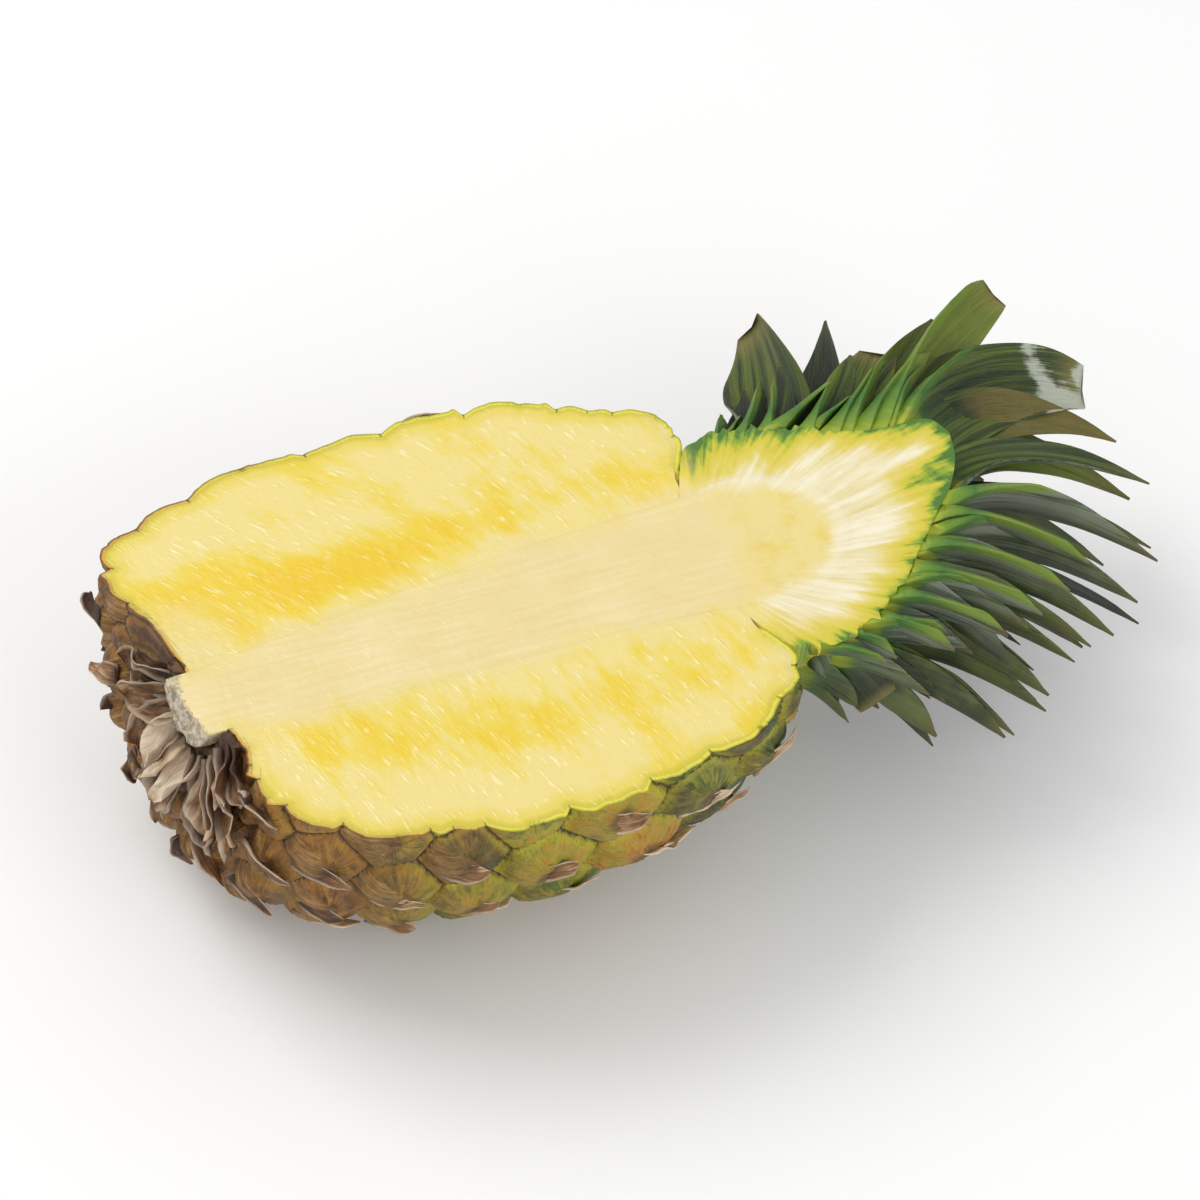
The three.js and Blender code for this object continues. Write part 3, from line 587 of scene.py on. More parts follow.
def blade(
    curve, inward, width, taper, roll, number, rib, edge, channel, rows, across,
    end=1, cut=True, curl=0.0, plump=LEAF_PLUMP,
):
    """A leaf along a Bezier curve of three points, as a closed tube: one face over v from -1 to 1
    and the other back. It is rib thick along its middle and edge at its sides, which channel
    times the width raises, and turns by roll on its way. end is the share where its tip was
    trimmed. With cut, the part over the knife's plane is taken off by narrowing the range of v,
    so that a flat cut edge shows."""
    share = np.linspace(0, 1, rows) * end
    tries = np.linspace(-1, 1, TRIES)
    a, b, c = (np.asarray(point, float) for point in curve)
    t = share[:, None]
    middle = a * (1 - t) ** 2 + 2 * b * t * (1 - t) + c * t * t
    forward = unit((b - a) * (1 - t) + (c - b) * t)
    side = unit(np.cross(forward, inward))
    side = rotated(side, forward, (roll * share)[:, None])
    up = unit(np.cross(side, forward))
    wave = 0.05 * np.sin(share * 9 + number) * share
    half = np.maximum(width / 2 * taper(share), 0.35) * (1 + wave)
    dish = channel * 2 * half

    def over(v):
        """Points at v across each row: a lift of dish * v * v, and an edge that waves a little."""
        sway = 0.35 * np.sin(share * 17 + number * 3)[:, None] * np.abs(v) ** 3 * (half / 8)[:, None]
        lift = dish[:, None] * v * v + sway + curl * half[:, None] * v**4
        aside = side[:, None] * (half[:, None] * v)[..., None]
        return middle[:, None] + aside + up[:, None] * lift[..., None]

    low, high = np.full(rows, -1.0), np.full(rows, 1.0)
    keep = slice(0, rows)
    if cut:
        depth = CUT_HEIGHT - over(np.broadcast_to(tries, (rows, TRIES)))[..., 2]
        inside = depth > 0
        first, last = inside.argmax(1), TRIES - 1 - inside[:, ::-1].argmax(1)
        low, high = tries[first], np.maximum(tries[last], tries[first] + 0.02)
        whole = inside.any(1)
        keep = slice(0, rows if whole.all() else max(int(whole.argmin()), 3))
    at = (1 - np.cos(np.linspace(0, math.pi, across))) / 2
    v = mix(low[:, None], high[:, None], at)
    surface = over(v)
    swell = 1 + plump * span((0.5, 0), share)
    flat = (1 - 0.75 * span((0.35, 0), share))[:, None]
    thick = edge + (rib * (swell - 0.6 * share)[:, None] - edge) * (1 - v * v * flat)
    thick = np.maximum(thick, 0.3) * np.minimum(1, half / 1.5)[:, None]
    upper = surface + up[:, None] * (thick / 2)[..., None]
    lower = surface - up[:, None] * (thick / 2)[..., None]
    points = np.concatenate([upper, lower[:, ::-1]], 1)
    wide = np.concatenate([v, v[:, ::-1]], 1)
    face = np.concatenate([np.ones_like(v), -np.ones_like(v)], 1)
    near_cut = np.zeros_like(points[..., 2])
    if cut:
        points[..., 2] = np.minimum(points[..., 2], CUT_HEIGHT)
        near_cut = span((2.6, 0.2), CUT_HEIGHT - points[..., 2])
    along = np.broadcast_to(share[:, None], wide.shape)
    blank = np.zeros_like(wide)
    length = np.linalg.norm(c - a)
    fields = {
        "leaf": np.stack([along, wide, blank + draw(number, 5)], -1),
        "side": np.stack([face, near_cut, blank + end], -1),
        "grain": np.stack([wide * half[:, None], along * length, blank + number], -1),
    }
    return closed(points[keep], {key: values[keep] for key, values in fields.items()})


def leaf_taper(share):
    """A leaf that narrows to a point."""
    return (1 - share) ** 0.85 * (0.86 + 0.55 * share)


def blunt_taper(share):
    """A leaf that keeps its breadth up to where its tip was trimmed."""
    return (1 - share) ** 0.42 * (0.86 + 0.5 * share)


def stem_distance(points):
    """How far points lie outside the stem's surface, in mm, measured from its bent axis."""
    x, y, z = points.T
    return np.hypot(y - bend(x), z - CUT_HEIGHT) - heart_radius(x)


def crown_leaf(root, tip, width, roll, end, number, cut=True, sink=LEAF_SINK, plump=LEAF_PLUMP):
    """A crown leaf, with the solids' curve: it leaves the stem's surface at root, hugs it for
    half its length and ends at tip. Its root stays under the knife's plane by up to 0.4 mm."""
    root_turn, tip_turn = math.radians(root[1]), math.radians(tip[2])
    radius = heart_radius(root[0]) - sink
    rise, run = tip[1] - radius, tip[0] - root[0]
    near_side = root[1] < -90
    angle = math.atan2(rise, run) * (0.8 if near_side else 0.6)
    handle = 0.5 * math.hypot(rise, run)
    curve = [
        place(root[0], radius, root_turn),
        place(root[0] + handle * math.cos(angle), radius + handle * math.sin(angle), root_turn),
        np.array(around(tip[0], tip[1], tip_turn)),
    ]
    inward = np.array([0, -math.cos(root_turn), -math.sin(root_turn)])
    turned = math.radians(roll) * (1 if near_side else -1)
    taper = leaf_taper if end == 1 else blunt_taper
    points, faces, fields = blade(
        curve, inward, width, taper, turned, number, rib=1.9, edge=0.45, channel=0.2,
        rows=26, across=11, end=end, cut=cut, plump=plump,
    )
    out = stem_distance(points)
    points[:, 2] = np.minimum(points[:, 2], CUT_HEIGHT - 0.4 * span((3.4, 2.2), out))
    fields["root"] = np.stack([out, out * 0, out * 0], -1)
    return points, faces, fields


def under_leaves():
    """The leaves that face down, by the golden angle from the crown's foot to its top."""
    made = []
    for i in range(UNDER_LEAVES):
        share = i / (UNDER_LEAVES - 1)
        turn = -((i * GOLDEN_DEGREES) % 360)
        if not UNDER_TURNS[0] <= turn <= UNDER_TURNS[1]:
            continue
        spread = math.radians(mix(50, 12, share) + 8 * (draw(i, 0) - 0.5))
        x = mix(64, 104, share)
        length = np.interp(share, [0, 0.5, 1], [10, 60, 54])
        radius = heart_radius(x) + length * math.sin(spread)
        deepest = (CUT_HEIGHT - FLOOR_CLEARANCE) / math.sin(math.radians(-turn))
        tip = (x + length * math.cos(spread), min(radius, deepest), turn)
        width = np.interp(share, [0, 0.5, 1], [13, 19, 17])
        roll = 40 * (draw(i + UNDER_LEAVES, 0) - 0.5)
        made.append(((x, turn), tip, width, roll, 1))
    return made


def foot_leaves():
    """Short leaves that hug the foot of the crown, by the golden angle."""
    made = []
    for i in range(FOOT_LEAVES):
        share = i / (FOOT_LEAVES - 1)
        turn = -((i * GOLDEN_DEGREES + 20) % 360)
        if turn < -178 or turn > -2:
            continue
        x = mix(62, 90, share)
        spread = math.radians(mix(42, 24, share) + 10 * (draw(i, 3) - 0.5))
        length = mix(13, 32, share) * (0.8 + 0.4 * draw(i, 4))
        radius = heart_radius(x) + length * math.sin(spread)
        tip = (x + length * math.cos(spread), radius, turn + 6 * (draw(i, 6) - 0.5))
        made.append(((x, turn), tip, mix(13, 18, share), 30 * (draw(i, 5) - 0.5), 1))
    return made


def make_leaves(finish):
    """The crown: the leaves that the photo shows, those under them and those at its foot."""
    parts = []
    for number, row in enumerate(SIDE_LEAVES):
        beside = row[0][1] > -31 or row[0][1] < -163
        root = (BESIDE_SINK, BESIDE_PLUMP) if beside else (LEAF_SINK, LEAF_PLUMP)
        parts.append(crown_leaf(*row, number, True, *root))
    for number, row in enumerate(under_leaves()):
        parts.append(crown_leaf(*row, number + 50, False))
    for number, row in enumerate(foot_leaves()):
        parts.append(crown_leaf(*row, number + 100))
    new_piece("crown_blades", parts, finish, "crown_leaves", "crown_leaves")


# Dry bracts on the eyes, and the husk round the stalk
def bract_taper(share):
    """A broad foot that narrows to a point."""
    return (1 - share) ** 0.75 * (0.75 + 0.8 * share)


def make_bracts(finish):
    """A thin papery point on each eye: it lies on the bract's cushion and curls up at its tip."""
    last = int((skin_line.travel[-1] - FIRST_EYE[0]) / EYE_STEP)
    parts = []
    for number in range(last + 1):
        travel = FIRST_EYE[0] + number * EYE_STEP
        turn = (FIRST_EYE[1] + number * GOLDEN_ANGLE) % (2 * math.pi) - 2 * math.pi
        share = np.interp(travel, skin_line.travel, skin_line.share)
        radius = skin_line.at(share)[1]
        if math.sin(turn) * radius > -3 or turn < NEAR or not 0.05 < share < 0.95:
            continue
        size = eye_size(radius)
        tone, lift = draw(number, 7), draw(number, 8)
        length = (9 + 5 * tone) * size
        curve = []
        for offset, out in ((-0.5, 0.8), (0.15, 3.0), (0.62, 1.6 + 2.4 * lift)):
            at = min(max(share + offset * length / skin_line.length, 0.0), 1.0)
            sway = (offset + 0.6) * (draw(number, 9) - 0.5) * 0.12
            point = place(*skin_line.at(at, out), turn + sway)
            curve.append([*point[:2], max(point[2], 0.9)])
        inward = np.array([0, math.cos(turn), math.sin(turn)])
        width = (6.5 + 3.5 * draw(number, 10)) * size
        points, faces, fields = blade(
            curve, inward, width, bract_taper, 0.9 * (tone - 0.5), number,
            rib=0.5, edge=0.3, channel=-0.12, rows=12, across=9, curl=0.35,
        )
        shift = np.stack([ripple(points, 5, 61 + k, 7) for k in range(3)], -1)
        points = points + 0.8 * shift * fields["leaf"][:, :1]
        points[:, 2] = np.clip(points[:, 2], 0.05, CUT_HEIGHT)
        fields["leaf"][:, 2] = mix(0.15, 0.55, span((0.02, 0.4), share)) + 0.5 * (tone - 0.5)
        parts.append((points, faces, fields))
    new_piece("bract_tips", parts, finish, "rind")


# Husk lobes: root turn, tip (x, radius, turn), width and tone
HUSK_LOBES = [
    (-4, (-63, 20, -2), 10, 0.15), (-38, (-64, 23, -34), 14, 0.3),
    (-72, (-65, 24, -76), 15, 0.85), (-104, (-67, 22, -100), 12, 0.95),
    (-136, (-64, 27, -130), 15, 0.35), (-168, (-64, 24, -160), 13, 0.2),
    (-20, (-62, 26, -16), 12, 0.1), (-56, (-62, 29, -58), 15, 0.25),
    (-88, (-63, 30, -84), 16, 0.2), (-120, (-62, 31, -124), 15, 0.1),
    (-152, (-62, 31, -150), 15, 0.3), (-176, (-62, 27, -173), 10, 0.1),
]
HUSK_ROOT = (-57.9, 11.3)  # x and radius of the lobes' roots
HUSK_RING = [(-57.6, 8.9), (-59.2, 9.6), (-59.6, 11.5), (-58.6, 13.8), (-57.2, 14.2), (-56.6, 11)]


def lobe_taper(share):
    """A lobe that widens from its root and ends blunt."""
    return 0.55 + 0.6 * share - 0.8 * share**3


def make_husk(finish):
    """Curled dry lobes that stand round the stalk's stub, in a ring of the same dry stuff."""
    parts = []
    for number, (turn, tip, width, tone) in enumerate(HUSK_LOBES):
        root_x, root_radius = HUSK_ROOT
        root_turn, tip_turn = math.radians(turn), math.radians(tip[2])
        curve = [
            place(root_x, root_radius, root_turn, 1),
            place(root_x - 2.5, (root_radius + tip[1]) / 2, root_turn, 1),
            place(tip[0], tip[1], tip_turn, 1),
        ]
        points, faces, fields = blade(
            curve, np.array([-1.0, 0, 0]), width, lobe_taper, 0.7 * (tone - 0.5), number,
            rib=0.5, edge=0.3, channel=0.16, rows=16, across=11, curl=0.25,
        )
        crumple = [
            ripple(points, 9, 41 + k, 6) + 0.45 * ripple(points, 3.5, 44 + k, 6) for k in range(3)
        ]
        points = points + np.stack(crumple, -1) * fields["leaf"][:, :1] * 1.9
        points[:, 2] = np.minimum(points[:, 2], CUT_HEIGHT)
        fields["leaf"][:, 2] = tone
        parts.append((points, faces, fields))
    turns = np.linspace(0, NEAR, 60)[:, None]
    x, radius = np.array(HUSK_RING).T[:, None] + 0 * turns
    points = place(x, radius, turns, 1)
    points = points + 0.5 * np.stack([ripple(points, 4, 51), ripple(points, 4, 52), 0 * x], -1)
    blank = np.zeros(x.shape)
    fields = {
        "leaf": np.stack([blank + 0.3, blank, blank + 0.2], -1),
        "side": np.stack([blank + 1, blank, blank + 1], -1),
        "grain": np.stack([turns * 12 + blank, radius, blank], -1),
    }
    points[..., 2] = np.minimum(points[..., 2], CUT_HEIGHT)
    parts.append(closed(points, fields))
    new_piece("husk_lobes", parts, finish, "stalk_husk", "stalk_husk")


# Finishes
def paint(colour):
    """A colour named by its screen values from 0 to 255, as linear light."""
    values = np.array(colour) / 255
    linear = np.where(values <= 0.04045, values / 12.92, ((values + 0.055) / 1.055) ** 2.4)
    return (*linear.tolist(), 1.0)


def arithmetic(operation, reflected=False):
    """The method of Wire for an arithmetic sign."""

    def apply(self, other):
        """Adds the Math node, with the wire second where it stands right of the sign."""
        return self.math(operation, *((other, self) if reflected else (self, other)))

    return apply


class Wire:
    """A shader value with arithmetic: each operation adds a Math node."""

    __add__ = __radd__ = arithmetic("ADD")
    __mul__ = __rmul__ = arithmetic("MULTIPLY")
    __truediv__ = arithmetic("DIVIDE")
    __sub__ = arithmetic("SUBTRACT")
    __rsub__ = arithmetic("SUBTRACT", True)

    def __init__(self, socket):
        self.socket = socket
        self.tree = socket.id_data

    def math(self, operation, *values, clamp=False):
        """Adds a Math node over values, held between 0 and 1 with clamp."""
        node = self.tree.nodes.new("ShaderNodeMath")
        node.operation, node.use_clamp = operation, clamp
        for k, value in enumerate(values):
            join(self.tree, value, node.inputs[k])
        return Wire(node.outputs[0])

    def step(self, low, high):
        """A smooth share from 0 at low to 1 at high, which may be the lower number."""
        share = self.math("MULTIPLY_ADD", self, 1 / (high - low), -low / (high - low), clamp=True)
        return share * share * (3 - 2 * share)

    def abs(self):
        """The value without its sign."""
        return self.math("ABSOLUTE", self)

    def limit(self):
        """The value held between 0 and 1."""
        return self.math("MULTIPLY", self, 1.0, clamp=True)

    def same(self, number):
        """1 where the value is this whole number, and 0 elsewhere."""
        return self.math("COMPARE", self, number, 0.5)


def join(tree, value, socket):
    """Links a wire to an input, or sets a constant on it: for a colour, its screen values."""
    if isinstance(value, Wire):
        tree.links.new(value.socket, socket)
    else:
        socket.default_value = paint(value) if socket.type == "RGBA" else value


class Finish:
    """A material in the making."""

    def __init__(self, name):
        self.material = bpy.data.materials.new(name)
        self.material.use_nodes = True
        self.tree = self.material.node_tree
        self.shader = self.tree.nodes["Principled BSDF"]

    def node(self, kind, settings, inputs, out=0):
        """Adds a node by type, settings and inputs, and gives one of its outputs."""
        node = self.tree.nodes.new(kind)
        for key, value in settings.items():
            setattr(node, key, value)
        for key, value in inputs.items():
            join(self.tree, value, node.inputs[key])
        return Wire(node.outputs[out])

    def field(self, name):
        """The three numbers of a mesh field."""
        return self.split(self.node("ShaderNodeAttribute", {"attribute_name": name}, {}, "Vector"))

    def split(self, vector):
        """The three numbers of a vector."""
        node = self.tree.nodes.new("ShaderNodeSeparateXYZ")
        join(self.tree, vector, node.inputs[0])
        return [Wire(socket) for socket in node.outputs]

    def place(self):
        """The place on the piece, in metres."""
        return self.node("ShaderNodeTexCoord", {}, {}, "Object")

    def vector(self, x, y, z=0.0):
        """Three numbers as a vector."""
        return self.node("ShaderNodeCombineXYZ", {}, {"X": x, "Y": y, "Z": z})

    def noise(self, vector, scale, detail=2.0, rough=0.55):
        """Clouds of about 0.3 to 0.7, finer with a larger scale."""
        inputs = {"Vector": vector, "Scale": scale, "Detail": detail, "Roughness": rough}
        return self.node("ShaderNodeTexNoise", {"noise_type": "FBM"}, inputs)

    def streaks(self, x, y, z=0.0, detail=3.0, rough=0.6):
        """Noise over three numbers, drawn out along the one that grows slowest."""
        return self.noise(self.vector(x, y, z), 1.0, detail, rough)

    def blend(self, factor, low, high):
        """Colour from low to high by a factor."""
        settings = {"data_type": "RGBA", "clamp_factor": True}
        return self.node("ShaderNodeMix", settings, {0: factor, 6: low, 7: high}, 2)

    def stops(self, share, *colours):
        """Colour along a share by (place, colour) stops."""
        node = self.tree.nodes.new("ShaderNodeValToRGB")
        join(self.tree, share, node.inputs[0])
        ramp = node.color_ramp
        while len(ramp.elements) < len(colours):
            ramp.elements.new(0.5)
        for element, (at, colour) in zip(ramp.elements, colours):
            element.position, element.color = at, paint(colour)
        return Wire(node.outputs[0])

    def done(self, colour, rough, height=None, distance=0.0003, **values):
        """Sets the shader's colour, roughness and bump, and constants by input name."""
        join(self.tree, colour, self.shader.inputs["Base Color"])
        join(self.tree, rough, self.shader.inputs["Roughness"])
        if height is not None:
            bump = self.node("ShaderNodeBump", {}, {"Distance": distance, "Height": height})
            join(self.tree, bump, self.shader.inputs["Normal"])
        for key, value in values.items():
            self.shader.inputs[key.replace("_", " ")].default_value = value
        return self.material


def cut_face(name):
    """Wet flesh: pale and deep yellow with fine fibres, short pale dashes that are partly fibre and
    partly painted wet highlight, a cream core, a white crown whose streaks turn yellow, lime and
    green towards the leaves, and a darker line along the skin."""
    make = Finish(name)
    along, across, swing = make.field("flow")
    core, skin, crown = make.field("tissue")
    deep, dome, leafward = make.field("ripe")
    where = make.place()
    soft = make.noise(where, 70.0, 3.0)
    crumbs = make.noise(where, 700.0)
    tiny = make.noise(where, 1500.0)
    segments = make.streaks(across * 0.11, along * 0.03, 7.0, 2.0, 0.5)
    wisps = make.streaks(across * 0.55, along * 0.13)
    fibres = make.streaks(across * 1.25, along * 0.2, 3.0, 3.0, 0.65)
    fibre_and_glint_dashes = make.streaks(across * 0.8, along * 0.22, 9.0, 1.0, 0.5)
    x, y, z = (value * (1 / MM) for value in make.split(where))

    # Flesh: pale to deep yellow, with pale fibres and pale dashes that are partly painted wet
    # highlights
    depth = deep * 0.75 + (wisps - 0.5) * 1.1 + (soft - 0.5) * 1.5 + (segments - 0.5) * 2.0
    flesh = make.stops(
        depth.limit(),
        (0.0, (231, 213, 134)), (0.3, (230, 208, 96)),
        (0.62, (230, 201, 52)), (1.0, (230, 194, 26)),
    )
    showing = (soft * 0.6 + segments * 0.8).step(0.55, 0.85)
    flesh = make.blend(fibres.step(0.54, 0.74) * (0.12 + 0.4 * showing), flesh, (239, 225, 164))
    flesh = make.blend(fibres.step(0.42, 0.3) * 0.16, flesh, (222, 188, 48))
    # Painted highlight: these pale dashes stand partly for fibres and partly for wet glints on the cut
    # face
    flesh = make.blend(fibre_and_glint_dashes.step(0.63, 0.77) * 0.5, flesh, (246, 236, 192))

    # Core: cream, with its border blurred
    strands = make.streaks(x * 0.06, y * 0.7, 2.0, 4.0)
    pith = make.stops(
        strands * 0.6 + soft * 0.4,
        (0.34, (223, 203, 139)), (0.5, (227, 209, 150)), (0.66, (232, 216, 167)),
    )
    pale = (core * 0.96 + (soft - 0.5) * 0.5 * core * (1 - core) * 4).limit()
    colour = make.blend(pale * (1 - crown), flesh, pith)

    # Crown: white leaf bases in a fan, with a green fringe that is wider beside its far side
    ends = {0: where, 1: [value * MM for value in (*FAN_MIDDLE, CUT_HEIGHT)]}
    reach = make.node("ShaderNodeVectorMath", {"operation": "DISTANCE"}, ends, "Value")
    streaks = make.streaks(swing * 0.5, reach * 40, 5.0, 4.0, 0.65)
    fan = make.stops(
        streaks, (0.3, (219, 201, 128)), (0.48, (230, 218, 174)), (0.62, (239, 231, 204))
    )
    beyond = x.step(92, 78) * y.step(0, 14)
    fringe = (leafward - beyond * 3) * (1.5 - beyond * 0.5) + (streaks - 0.5) * 20
    fringe = fringe + (wisps - 0.5) * 5 + 2.5 - x.step(96, 108) * 3
    tint = make.stops(
        fringe / 20,
        (0.02, (66, 116, 20)), (0.11, (142, 166, 26)), (0.22, (204, 192, 40)),
        (0.42, (218, 200, 84)), (0.85, (229, 216, 160)),
    )
    fan = make.blend(fringe.step(17, 8), fan, tint)

    # The core's rounded end in the crown, mottled with a pale rim
    inward = (x + (soft - 0.5) * 8).step(50, 70)
    blots = make.noise(where, 150.0, 4.0, 0.65)
    mottle = (soft * 0.6 + blots * 0.5).step(0.5, 0.68) * 0.8
    bulb = make.blend(inward, pith, make.blend(mottle, (228, 211, 136), (226, 196, 78)))
    fan = make.blend((dome + (soft - 0.5) * 0.5).step(0.3, 0.95), fan, bulb)
    rim = dome.step(0.02, 0.3) * dome.step(0.75, 0.35) * inward
    fan = make.blend(rim * 0.45, fan, (236, 226, 192))
    colour = make.blend(crown, colour, fan)

    # The stub's dry end and underside
    rough_end = (x + (soft - 0.5) * 5 + (crumbs - 0.5) * 2).step(-59.4, -60.8)
    crust = make.blend(crumbs.step(0.4, 0.6), (142, 122, 94), (196, 186, 162))
    colour = make.blend(rough_end * core, colour, crust)
    below = (z - CUT_HEIGHT).step(-0.3, -1.0) * x.step(-54, -57)
    colour = make.blend(below * 0.9, colour, crust)

    # A deeper, then greener line along the skin
    edge = skin + (soft - 0.5) * 2.4
    rest = (1 - crown) * (1 - core) * 0.6
    colour = make.blend(edge.step(5.5, 1.5) * rest, colour, (222, 200, 36))
    colour = make.blend(edge.step(1.8, 0.4) * rest, colour, (190, 180, 24))

    grain = fibres * (0.08 + 0.25 * showing) + wisps * 0.35 + fibre_and_glint_dashes.step(0.55, 0.8) * 0.35 + soft * 0.5
    height = grain * (1 - crown) * (1 - core * 0.6) + streaks * crown * 0.8 + tiny * 0.06
    rough = 0.24 + (soft - 0.5) * 0.3 + (tiny - 0.5) * 0.15 + core * 0.12 + crown * 0.12
    return make.done(
        colour, rough, height, 0.0004,
        Subsurface_Weight=0.15, Subsurface_Scale=0.0012, Subsurface_Radius=(1.0, 0.75, 0.25),
        Coat_Weight=0.35, Coat_Roughness=0.12,
    )


def rind_finish():
    """Rind: olive and gold eyes that brown towards the stalk, with purple-brown middles, dry
    bracts in beige and brown, green-gold grooves whose bottoms darken with painted shade, and the
    skin's line on the cut face."""
    make = Finish("rind")
    along, swing, edge = make.field("cell")
    tone, bract, share = make.field("eye")
    lip = make.field("lip")[0]
    where = make.place()
    blotch = make.noise(where, 60.0, 4.0, 0.6)
    fine = make.noise(where, 420.0, 3.0, 0.6)
    speck = make.noise(where, 1600.0)
    out = make.vector(along, swing)
    reach = make.node("ShaderNodeVectorMath", {"operation": "LENGTH"}, {0: out}, "Value")
    spoke = swing.math("ARCTAN2", swing, along - 1)
    rays = make.streaks(spoke * 9, reach * 0.15, tone * 9)
    stalk = (share + (blotch - 0.5) * 0.5 + (tone - 0.5) * 0.2).step(0.55, 0.1)
    patch = make.noise(where, 95.0, 3.0)
    fresh = make.stops(
        (fine * 0.35 + rays * 0.35 + patch * 0.5 + (tone - 0.5) * 0.35 - 0.1).limit(),
        (0.28, (46, 62, 12)), (0.42, (88, 98, 16)), (0.54, (156, 144, 18)),
        (0.66, (178, 126, 22)), (0.8, (126, 66, 22)),
    )
    aged = make.stops(
        (fine * 0.45 + rays * 0.4 + patch * 0.3 - 0.08).limit(),
        (0.3, (56, 32, 14)), (0.46, (110, 70, 22)),
        (0.6, (158, 108, 30)), (0.78, (180, 138, 70)),
    )
    colour = make.blend(stalk, fresh, aged)
    groove = make.blend(stalk, (178, 170, 18), (160, 108, 24))
    colour = make.blend(edge.step(2.6, 0.6) * (0.35 + blotch * 0.7), colour, groove)
    # Painted shade: the cell edges, where the grooves sink between the eyes, darken to near black-brown
    dark = (edge + (fine - 0.5) * 1.6).step(1.0, 0.0) * (0.4 + blotch * 0.6)
    colour = make.blend(dark, colour, (48, 34, 16))
    middle = (reach + (fine - 0.5) * 2).step(3.6, 1.6)
    colour = make.blend(middle * 0.7, colour, (74, 42, 28))
    threads = make.streaks(swing * 1.6, along * 0.16, tone * 7)
    dry = make.stops(
        (threads + (fine - 0.5) * 0.3).limit(),
        (0.3, (88, 58, 26)), (0.5, (142, 102, 50)), (0.7, (188, 150, 92)),
    )
    colour = make.blend(bract.step(0.3, 0.9) * (0.25 + 0.5 * stalk), colour, dry)
    line = lip + (fine - 0.5) * 0.4
    inner = make.blend(stalk, (226, 214, 66), (214, 170, 70))
    outer = make.blend(stalk, (168, 172, 30), (92, 58, 28))
    cut = make.blend(line.step(0.1, 0.6), outer, inner)
    colour = make.blend(lip.step(0.02, 0.1), colour, cut)
    height = fine * 0.8 + rays * 0.6 + threads * bract * 0.8 + speck * 0.2 + patch * 0.8
    rough = 0.42 + (fine - 0.5) * 0.3 + bract * 0.22 + stalk * 0.12
    return make.done(colour, rough, height, 0.0012, Coat_Weight=0.1, Coat_Roughness=0.3)


PAPER = ((204, 176, 142), (232, 214, 190))
BROWN = ((62, 38, 20), (136, 96, 56))


def dry_finish(name):
    """Dry papery bract: fine lengthwise threads, dark at the root and pale along its edges."""
    make = Finish(name)
    along, wide, tone = make.field("leaf")
    across, length, number = make.field("grain")
    where = make.place()
    blotch = make.noise(where, 160.0, 3.0)
    threads = make.streaks(across * 1.9, length * 0.16, number * 3)
    share = (threads * 0.7 + (tone - 0.5) * 0.75 + (blotch - 0.5) * 0.6 + along * 0.12).limit()
    colour = make.stops(share, *zip((0.12, 0.34, 0.55, 0.85), BROWN + PAPER))
    pale = wide.abs().step(0.72, 1.0) * 0.5
    colour = make.blend(pale, colour, PAPER[1])
    colour = make.blend((along + (blotch - 0.5) * 0.4).step(0.3, 0.0) * 0.6, colour, BROWN[0])
    height = threads + blotch * 0.4
    return make.done(colour, 0.72, height, 0.0006, Subsurface_Weight=0.1, Subsurface_Scale=0.001)


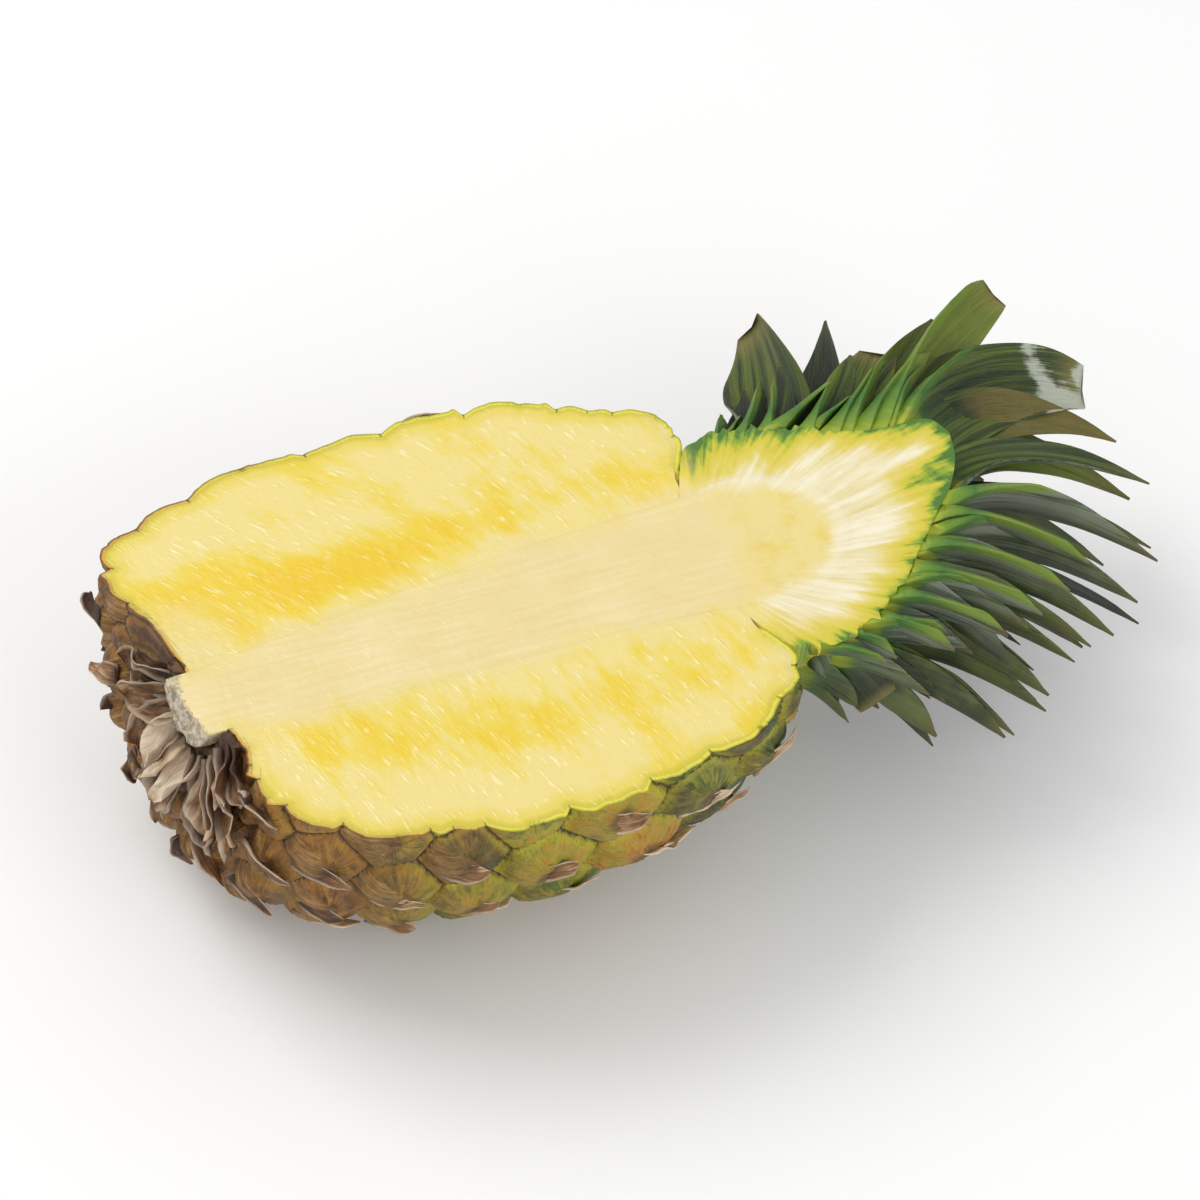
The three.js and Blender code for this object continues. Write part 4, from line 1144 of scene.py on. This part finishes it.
def leaf_finish():
    """Leaf: dark glossy green inside, waxy grey-green outside with fine veins, its silver bloom
    painted only near the top as painted light from above, lime at its root and along the cut, and
    olive to straw at its tip."""
    make = Finish("crown_leaves")
    along, wide, tone = make.field("leaf")
    face, wound, end = make.field("side")
    across, length, number = make.field("grain")
    root = make.field("root")[0]
    where = make.place()
    blotch = make.noise(where, 90.0, 3.0)
    veins = make.streaks(across * 3.4, length * 0.03, number * 3, 4.0, 0.7)
    broad = make.streaks(across * 0.6, length * 0.02, number * 5, 2.0, 0.55)
    speck = make.noise(where, 1800.0)
    depth = CUT_HEIGHT - make.split(where)[2] * (1 / MM) + (broad - 0.5) * 10
    inside = make.stops(
        (veins * 0.4 + broad * 0.6 + (tone - 0.5) * 0.25).limit(),
        (0.38, (22, 34, 10)), (0.5, (46, 64, 16)), (0.64, (96, 112, 32)),
    )
    outside = make.stops(
        (veins * 0.5 + blotch * 0.5 + (tone - 0.5) * 0.3).limit(),
        (0.38, (24, 34, 14)), (0.5, (48, 62, 24)), (0.64, (92, 104, 48)),
    )
    # Partly waxy colour, partly painted light: the silver bloom shows only within about 15 mm under the
    # knife's plane, so the leaves' tops read lit and their lower parts stay dark
    bloom_and_top_light = (veins * 0.7 + broad * 0.7).step(0.5, 0.82) * depth.step(15, 3)
    outside = make.blend(bloom_and_top_light * 0.8, outside, (138, 146, 130))
    colour = make.blend(face.step(0.2, -0.2), inside, outside)
    light = number.same(LIGHT_LEAF) * (0.3 + veins * 0.6)
    colour = make.blend(light, colour, (126, 142, 40))
    rootward = root * 0.8 + along * 20 + (broad - 0.5) * 9 + (veins - 0.5) * 9
    colour = make.blend(rootward.step(16, 5) * 0.75, colour, (40, 98, 26))
    colour = make.blend(rootward.step(9.0, 3.0) * 0.9, colour, (150, 162, 32))
    dried = (along + (blotch - 0.5) * 0.16 + (tone - 0.5) * 0.12).step(0.84, 0.99)
    colour = make.blend(dried * 0.6, colour, (96, 88, 36))
    stub = (end - 0.97).step(0.0, -0.02) * (along / end).step(0.86, 0.99)
    colour = make.blend(stub * 0.6, colour, (140, 128, 64))
    withered = number.same(WITHERED_LEAF) * (along + (blotch - 0.5) * 0.5).step(0.35, 0.6)
    colour = make.blend(withered * 0.65, colour, (126, 112, 48))
    patch = (along + (blotch - 0.5) * 1.1 + (veins - 0.5) * 0.3).step(0.72, 0.84)
    colour = make.blend(number.same(PEELED_LEAF) * patch * 0.75, colour, (206, 212, 196))
    fresh = make.stops(
        rootward / 40,
        (0.03, (178, 182, 36)), (0.16, (112, 146, 30)), (0.36, (58, 110, 30)), (0.7, (112, 138, 34)),
    )
    edge = (wound + (speck - 0.5) * 0.6 + (veins - 0.5) * 0.5).step(0.25, 0.75)
    colour = make.blend(edge * 0.9, colour, fresh)
    height = veins + speck * 0.12
    rough = 0.4 + face.step(0.2, -0.2) * 0.14 + (blotch - 0.5) * 0.2
    return make.done(colour, rough, height, 0.0005, Coat_Weight=0.06, Coat_Roughness=0.3)


make_rind(rind_finish())
make_bracts(dry_finish("bract"))
make_flesh(cut_face("flesh"))
make_core(cut_face("core"))
make_heart(cut_face("crown_heart"))
make_leaves(leaf_finish())
make_husk(dry_finish("stalk_husk"))

# Stage, light and camera, in metres
FLOOR_REACH = 30.0
FLOOR_COLOUR = (243.445, 243.445, 243.445)  # 0.9 as linear light
FRUIT_MIDDLE = (0.03, 0, 0.05)
SKY_STRENGTH = 0.72
LENS_MM, SENSOR_MM = 130.7, 36
LOOK_AT = Vector((0.028, -0.00554, 0.0586))
LOOK_FROM = Vector((-0.2376, -0.6528, 0.7193))  # the way from there to the camera
CAMERA_DISTANCE = 0.9


def make_floor():
    """A wide pale floor under the fruit."""
    mesh = bpy.data.meshes.new("floor")
    corners = [(-1, -1), (1, -1), (1, 1), (-1, 1)]
    points = [(x * FLOOR_REACH, y * FLOOR_REACH, 0) for x, y in corners]
    mesh.from_pydata(points, [], [(0, 1, 2, 3)])
    mesh.materials.append(Finish("floor").done(FLOOR_COLOUR, 0.9))
    floor = bpy.data.objects.new("floor", mesh)
    bpy.context.scene.collection.objects.link(floor)


def facing(target, start):
    """The turn of a lamp or camera at start that looks at target."""
    return (Vector(target) - Vector(start)).to_track_quat("-Z", "Y").to_euler()


def make_light(name, at, size, power, colour):
    """A square soft light that faces the fruit."""
    lamp = bpy.data.lights.new(name, "AREA")
    lamp.size, lamp.energy, lamp.color = size, power, colour
    holder = bpy.data.objects.new(name, lamp)
    holder.location, holder.rotation_euler = at, facing(FRUIT_MIDDLE, at)
    bpy.context.scene.collection.objects.link(holder)


make_floor()
make_light("key", (-0.45, 0.5, 1.0), 0.7, 6.0, (1.0, 0.985, 0.96))
make_light("fill", (0.5, -1.1, 0.6), 0.8, 5.5, (0.97, 0.985, 1.0))
world = bpy.data.worlds.new("world")
world.use_nodes = True
sky = world.node_tree.nodes["Background"]
sky.inputs["Color"].default_value = (1.0, 1.0, 1.0, 1.0)
sky.inputs["Strength"].default_value = SKY_STRENGTH
bpy.context.scene.world = world
bpy.context.scene.view_settings.view_transform = "Standard"

lens = bpy.data.cameras.new("camera")
lens.lens, lens.sensor_width, lens.sensor_fit = LENS_MM, SENSOR_MM, "HORIZONTAL"
camera = bpy.data.objects.new("camera", lens)
camera.location = LOOK_AT + CAMERA_DISTANCE * LOOK_FROM
camera.rotation_euler = facing(LOOK_AT, camera.location)
bpy.context.scene.collection.objects.link(camera)
bpy.context.scene.camera = camera
